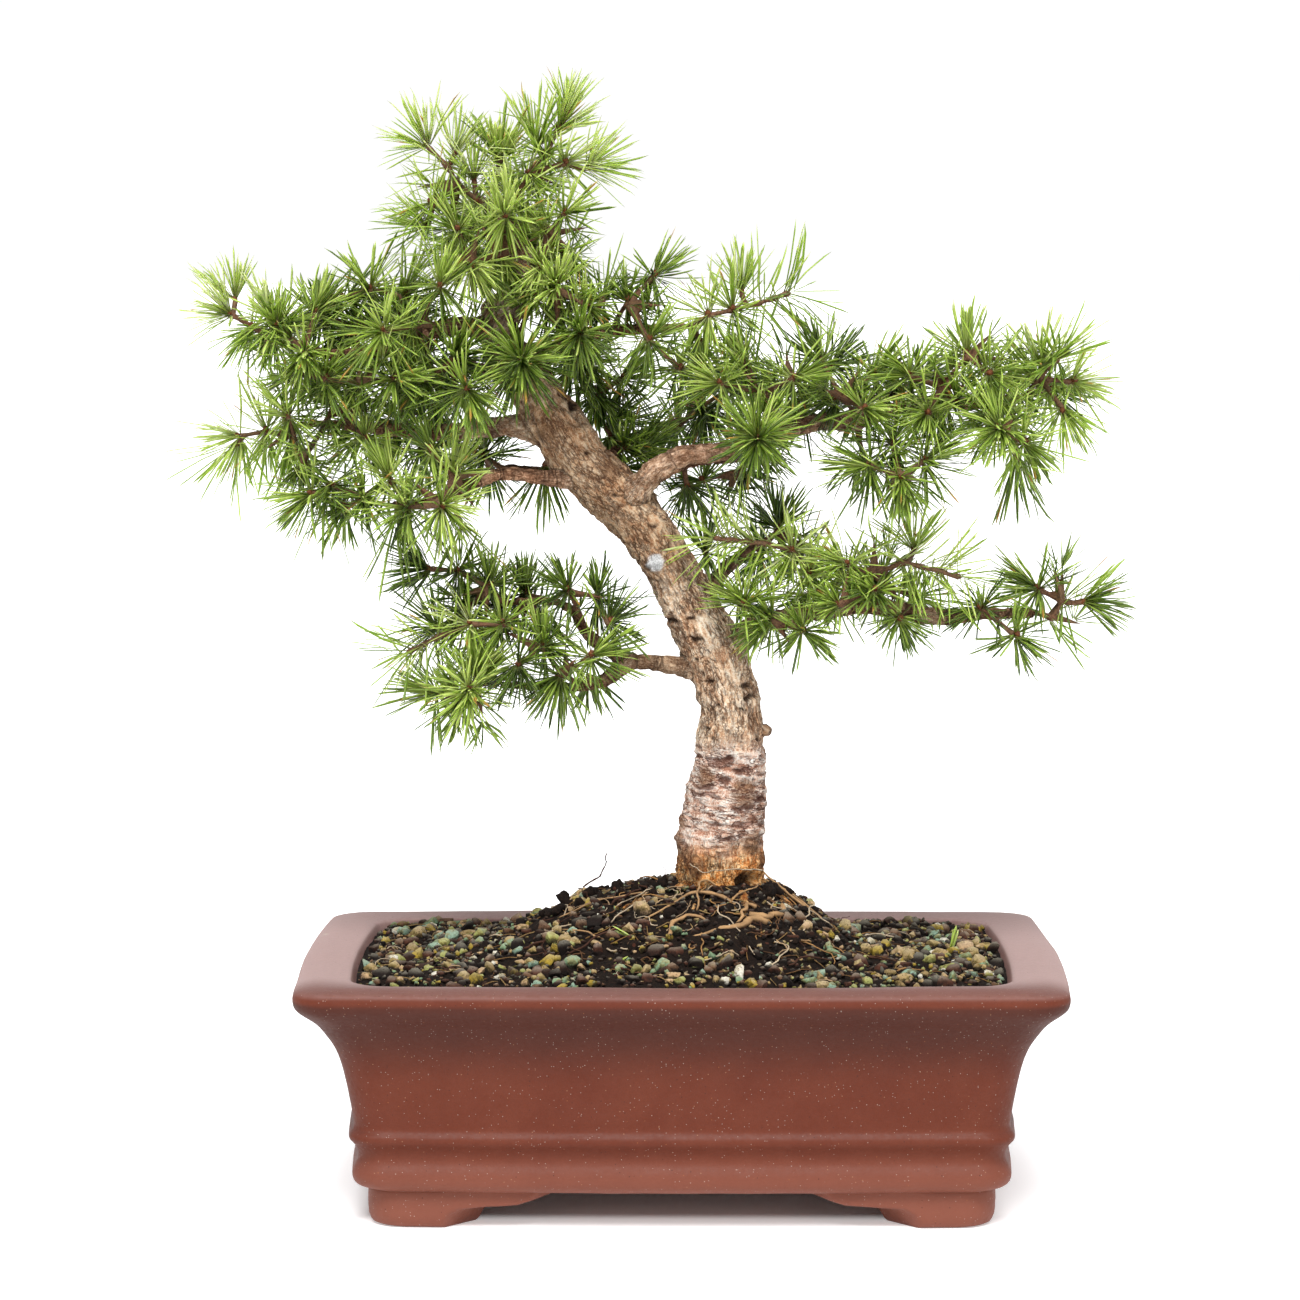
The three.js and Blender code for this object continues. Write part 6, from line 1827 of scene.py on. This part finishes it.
def make_strand_finish(name, first, second, third):
    """Dry strands: rootlets or fallen needles, each its own tint, with painted shade on their undersides and
    darker where soil clings.
    """
    material, tree, shader = new_material(name, Roughness=0.85, Specular_IOR_Level=0.25)
    broad, fine, relief = mottle(tree, 160.0, 1300.0)
    colour = ramp(tree, mark(tree, "tint"), [(0.0, first), (0.5, second), (1.0, third)])
    colour = laid_over(tree, colour, (fine, 0.4, mix_colours(tree, 0.5, colour, "#3f2a1b")))
    # painted shade on the undersides, with patches of clinging soil
    under = opposite(tree, stretch(tree, facing_up(tree), -0.5, 0.5))
    painted_shade_and_soil = times(tree, under, 0.55, times(tree, broad, 0.35), clamp=True)
    colour = mix_colours(tree, painted_shade_and_soil, colour, "#3b2415")
    give_finish(tree, shader, colour, relief, 0.0003, 0.6)
    return material


def make_screen_finish():
    """Dusty dark plastic mesh."""
    material, tree, shader = new_material("drain screen", Specular_IOR_Level=0.4)
    _, fine, relief = mottle(tree, 90.0, 700.0)
    tree.links.new(times(tree, fine, 0.25, 0.5), shader.inputs["Roughness"])
    give_finish(tree, shader, mix_colours(tree, fine, "#16181a", "#34322c"), relief, 0.0002, 0.5)
    return material


def make_wire_finish():
    """Dull aluminium wire."""
    material, tree, shader = new_material("staple wire", Metallic=1.0)
    _, fine, relief = mottle(tree, 120.0, 900.0)
    tree.links.new(times(tree, fine, 0.2, 0.38), shader.inputs["Roughness"])
    give_finish(tree, shader, mix_colours(tree, fine, "#6d665c", "#a49a8c"), relief, 0.0001, 0.4)
    return material


# ---- the whole part

GREENS = {  # dark, low, high, bright, and the needle's foot
    "needles": ("#324217", "#667f2a", "#a9c54c", "#d6eb7c", "#c3ce7e"),
    "young_needles": ("#6d8a2a", "#a3c244", "#cbe26e", "#e8f6aa", "#dde8a0"),
}
LEAF = {kind: make_needle_finish(kind.replace("_", " "), *greens) for kind, greens in GREENS.items()}
BARK = make_bark_finish()
TWIG = make_twig_finish()
STONEWARE = make_stoneware_finish()
chance = np.random.default_rng(5)
for node in sorted(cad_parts):
    if node.startswith("spray_"):
        grow_spray(node, LEAF, TWIG, chance)
grow_wood(BARK)
build_body(STONEWARE)
build_feet(STONEWARE)
HUMUS = make_soil_finish()
build_bed(HUMUS)
build_clods(HUMUS)
build_grit(make_grit_finish())
chance = np.random.default_rng(29)
build_rootlets(make_strand_finish("rootlets", "#4f2f22", "#c8965c", "#e6cfae"), chance)
build_straws(make_strand_finish("fallen needles", "#6d4a2c", "#a57b45", "#bfa06a"), chance)
build_blades(LEAF["young_needles"], chance)
SCREEN = make_screen_finish()
WIRE = make_wire_finish()
for side in ("left", "right"):
    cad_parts["screen_" + side].material_slots[0].material = SCREEN
    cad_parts["staple_" + side].material_slots[0].material = WIRE

# ---- floor, light and camera

CAMERA_PLACE = np.array([0.0, -1865.0, 407.6])
CAMERA_TARGET = np.array([-13.5, 0.0, 230.0])
CAMERA_LENS = 122.95
FLOOR_SIZE = 60.0
FLOOR_GLOW = 0.34
SHADE_LENGTH = (0.112, 0.128)  # metres from the middle where the floor starts to glow, to the side
SHADE_DEPTH = (0.052, 0.066)  # and to the front and back


def in_metres(point):
    return Vector(np.asarray(point, dtype=float) * MM + POT_FOOT)


def sun(name, place_from, strength, spread):
    """A far lamp that lights everything evenly from one side, its shadows softened by its spread."""
    lamp = bpy.data.lights.new(name, "SUN")
    lamp.energy = strength
    lamp.angle = math.radians(spread)
    new_object(name, lamp).rotation_euler = Vector(place_from).to_track_quat("Z", "Y").to_euler()


def set_stage():
    """A plain pale floor that glows round the pot, white surroundings, and soft light from in front."""
    half = FLOOR_SIZE / 2
    corners = [(-half, -half, 0), (half, -half, 0), (half, half, 0), (-half, half, 0)]
    mesh = bpy.data.meshes.new("floor")
    mesh.from_pydata(corners, [], [(0, 1, 2, 3)])
    material, tree, shader = new_material(
        "floor",
        Roughness=0.9,
        Specular_IOR_Level=0.1,
        Base_Color=(0.95, 0.95, 0.95, 1.0),
        Emission_Color=(1.0, 1.0, 1.0, 1.0),
    )
    spot = split(tree, place(tree))
    beside = stretch(tree, sum_up(tree, "ABSOLUTE", spot["X"]), *SHADE_LENGTH)
    before = stretch(tree, sum_up(tree, "ABSOLUTE", spot["Y"]), *SHADE_DEPTH)
    glow = times(tree, sum_up(tree, "MAXIMUM", beside, before), FLOOR_GLOW)
    tree.links.new(glow, shader.inputs["Emission Strength"])
    mesh.materials.append(material)
    floor = new_object("floor", mesh)
    world = bpy.data.worlds.new("studio")
    bpy.context.scene.world = world
    world.use_nodes = True
    tree = world.node_tree
    upward = split(tree, add(tree, "TexCoord").outputs["Generated"])["Z"]
    white, grey = (1.02, 1.02, 1.02, 1.0), (0.38, 0.38, 0.39, 1.0)
    sky = ramp(tree, upward, [(0.0, white), (0.12, white), (0.4, grey)])
    tree.links.new(sky, tree.nodes["Background"].inputs["Color"])
    sun("key", (-0.03, -0.58, 0.8), 3.8, 30.0)
    sun("fill", (0.1, -0.85, 0.4), 0.7, 60.0)
    sun("left_side", (-0.85, -0.1, 0.5), 0.4, 50.0)
    sun("right_side", (0.85, -0.1, 0.5), 0.4, 50.0)
    bpy.context.scene.view_settings.view_transform = "Standard"


def set_camera():
    lens = bpy.data.cameras.new("camera")
    lens.lens = CAMERA_LENS
    lens.sensor_width = 36.0
    lens.clip_end = 100.0
    camera = new_object("camera", lens)
    camera.location = in_metres(CAMERA_PLACE)
    camera.rotation_euler = (in_metres(CAMERA_TARGET) - camera.location).to_track_quat("-Z", "Y").to_euler()
    bpy.context.scene.camera = camera


set_stage()
set_camera()
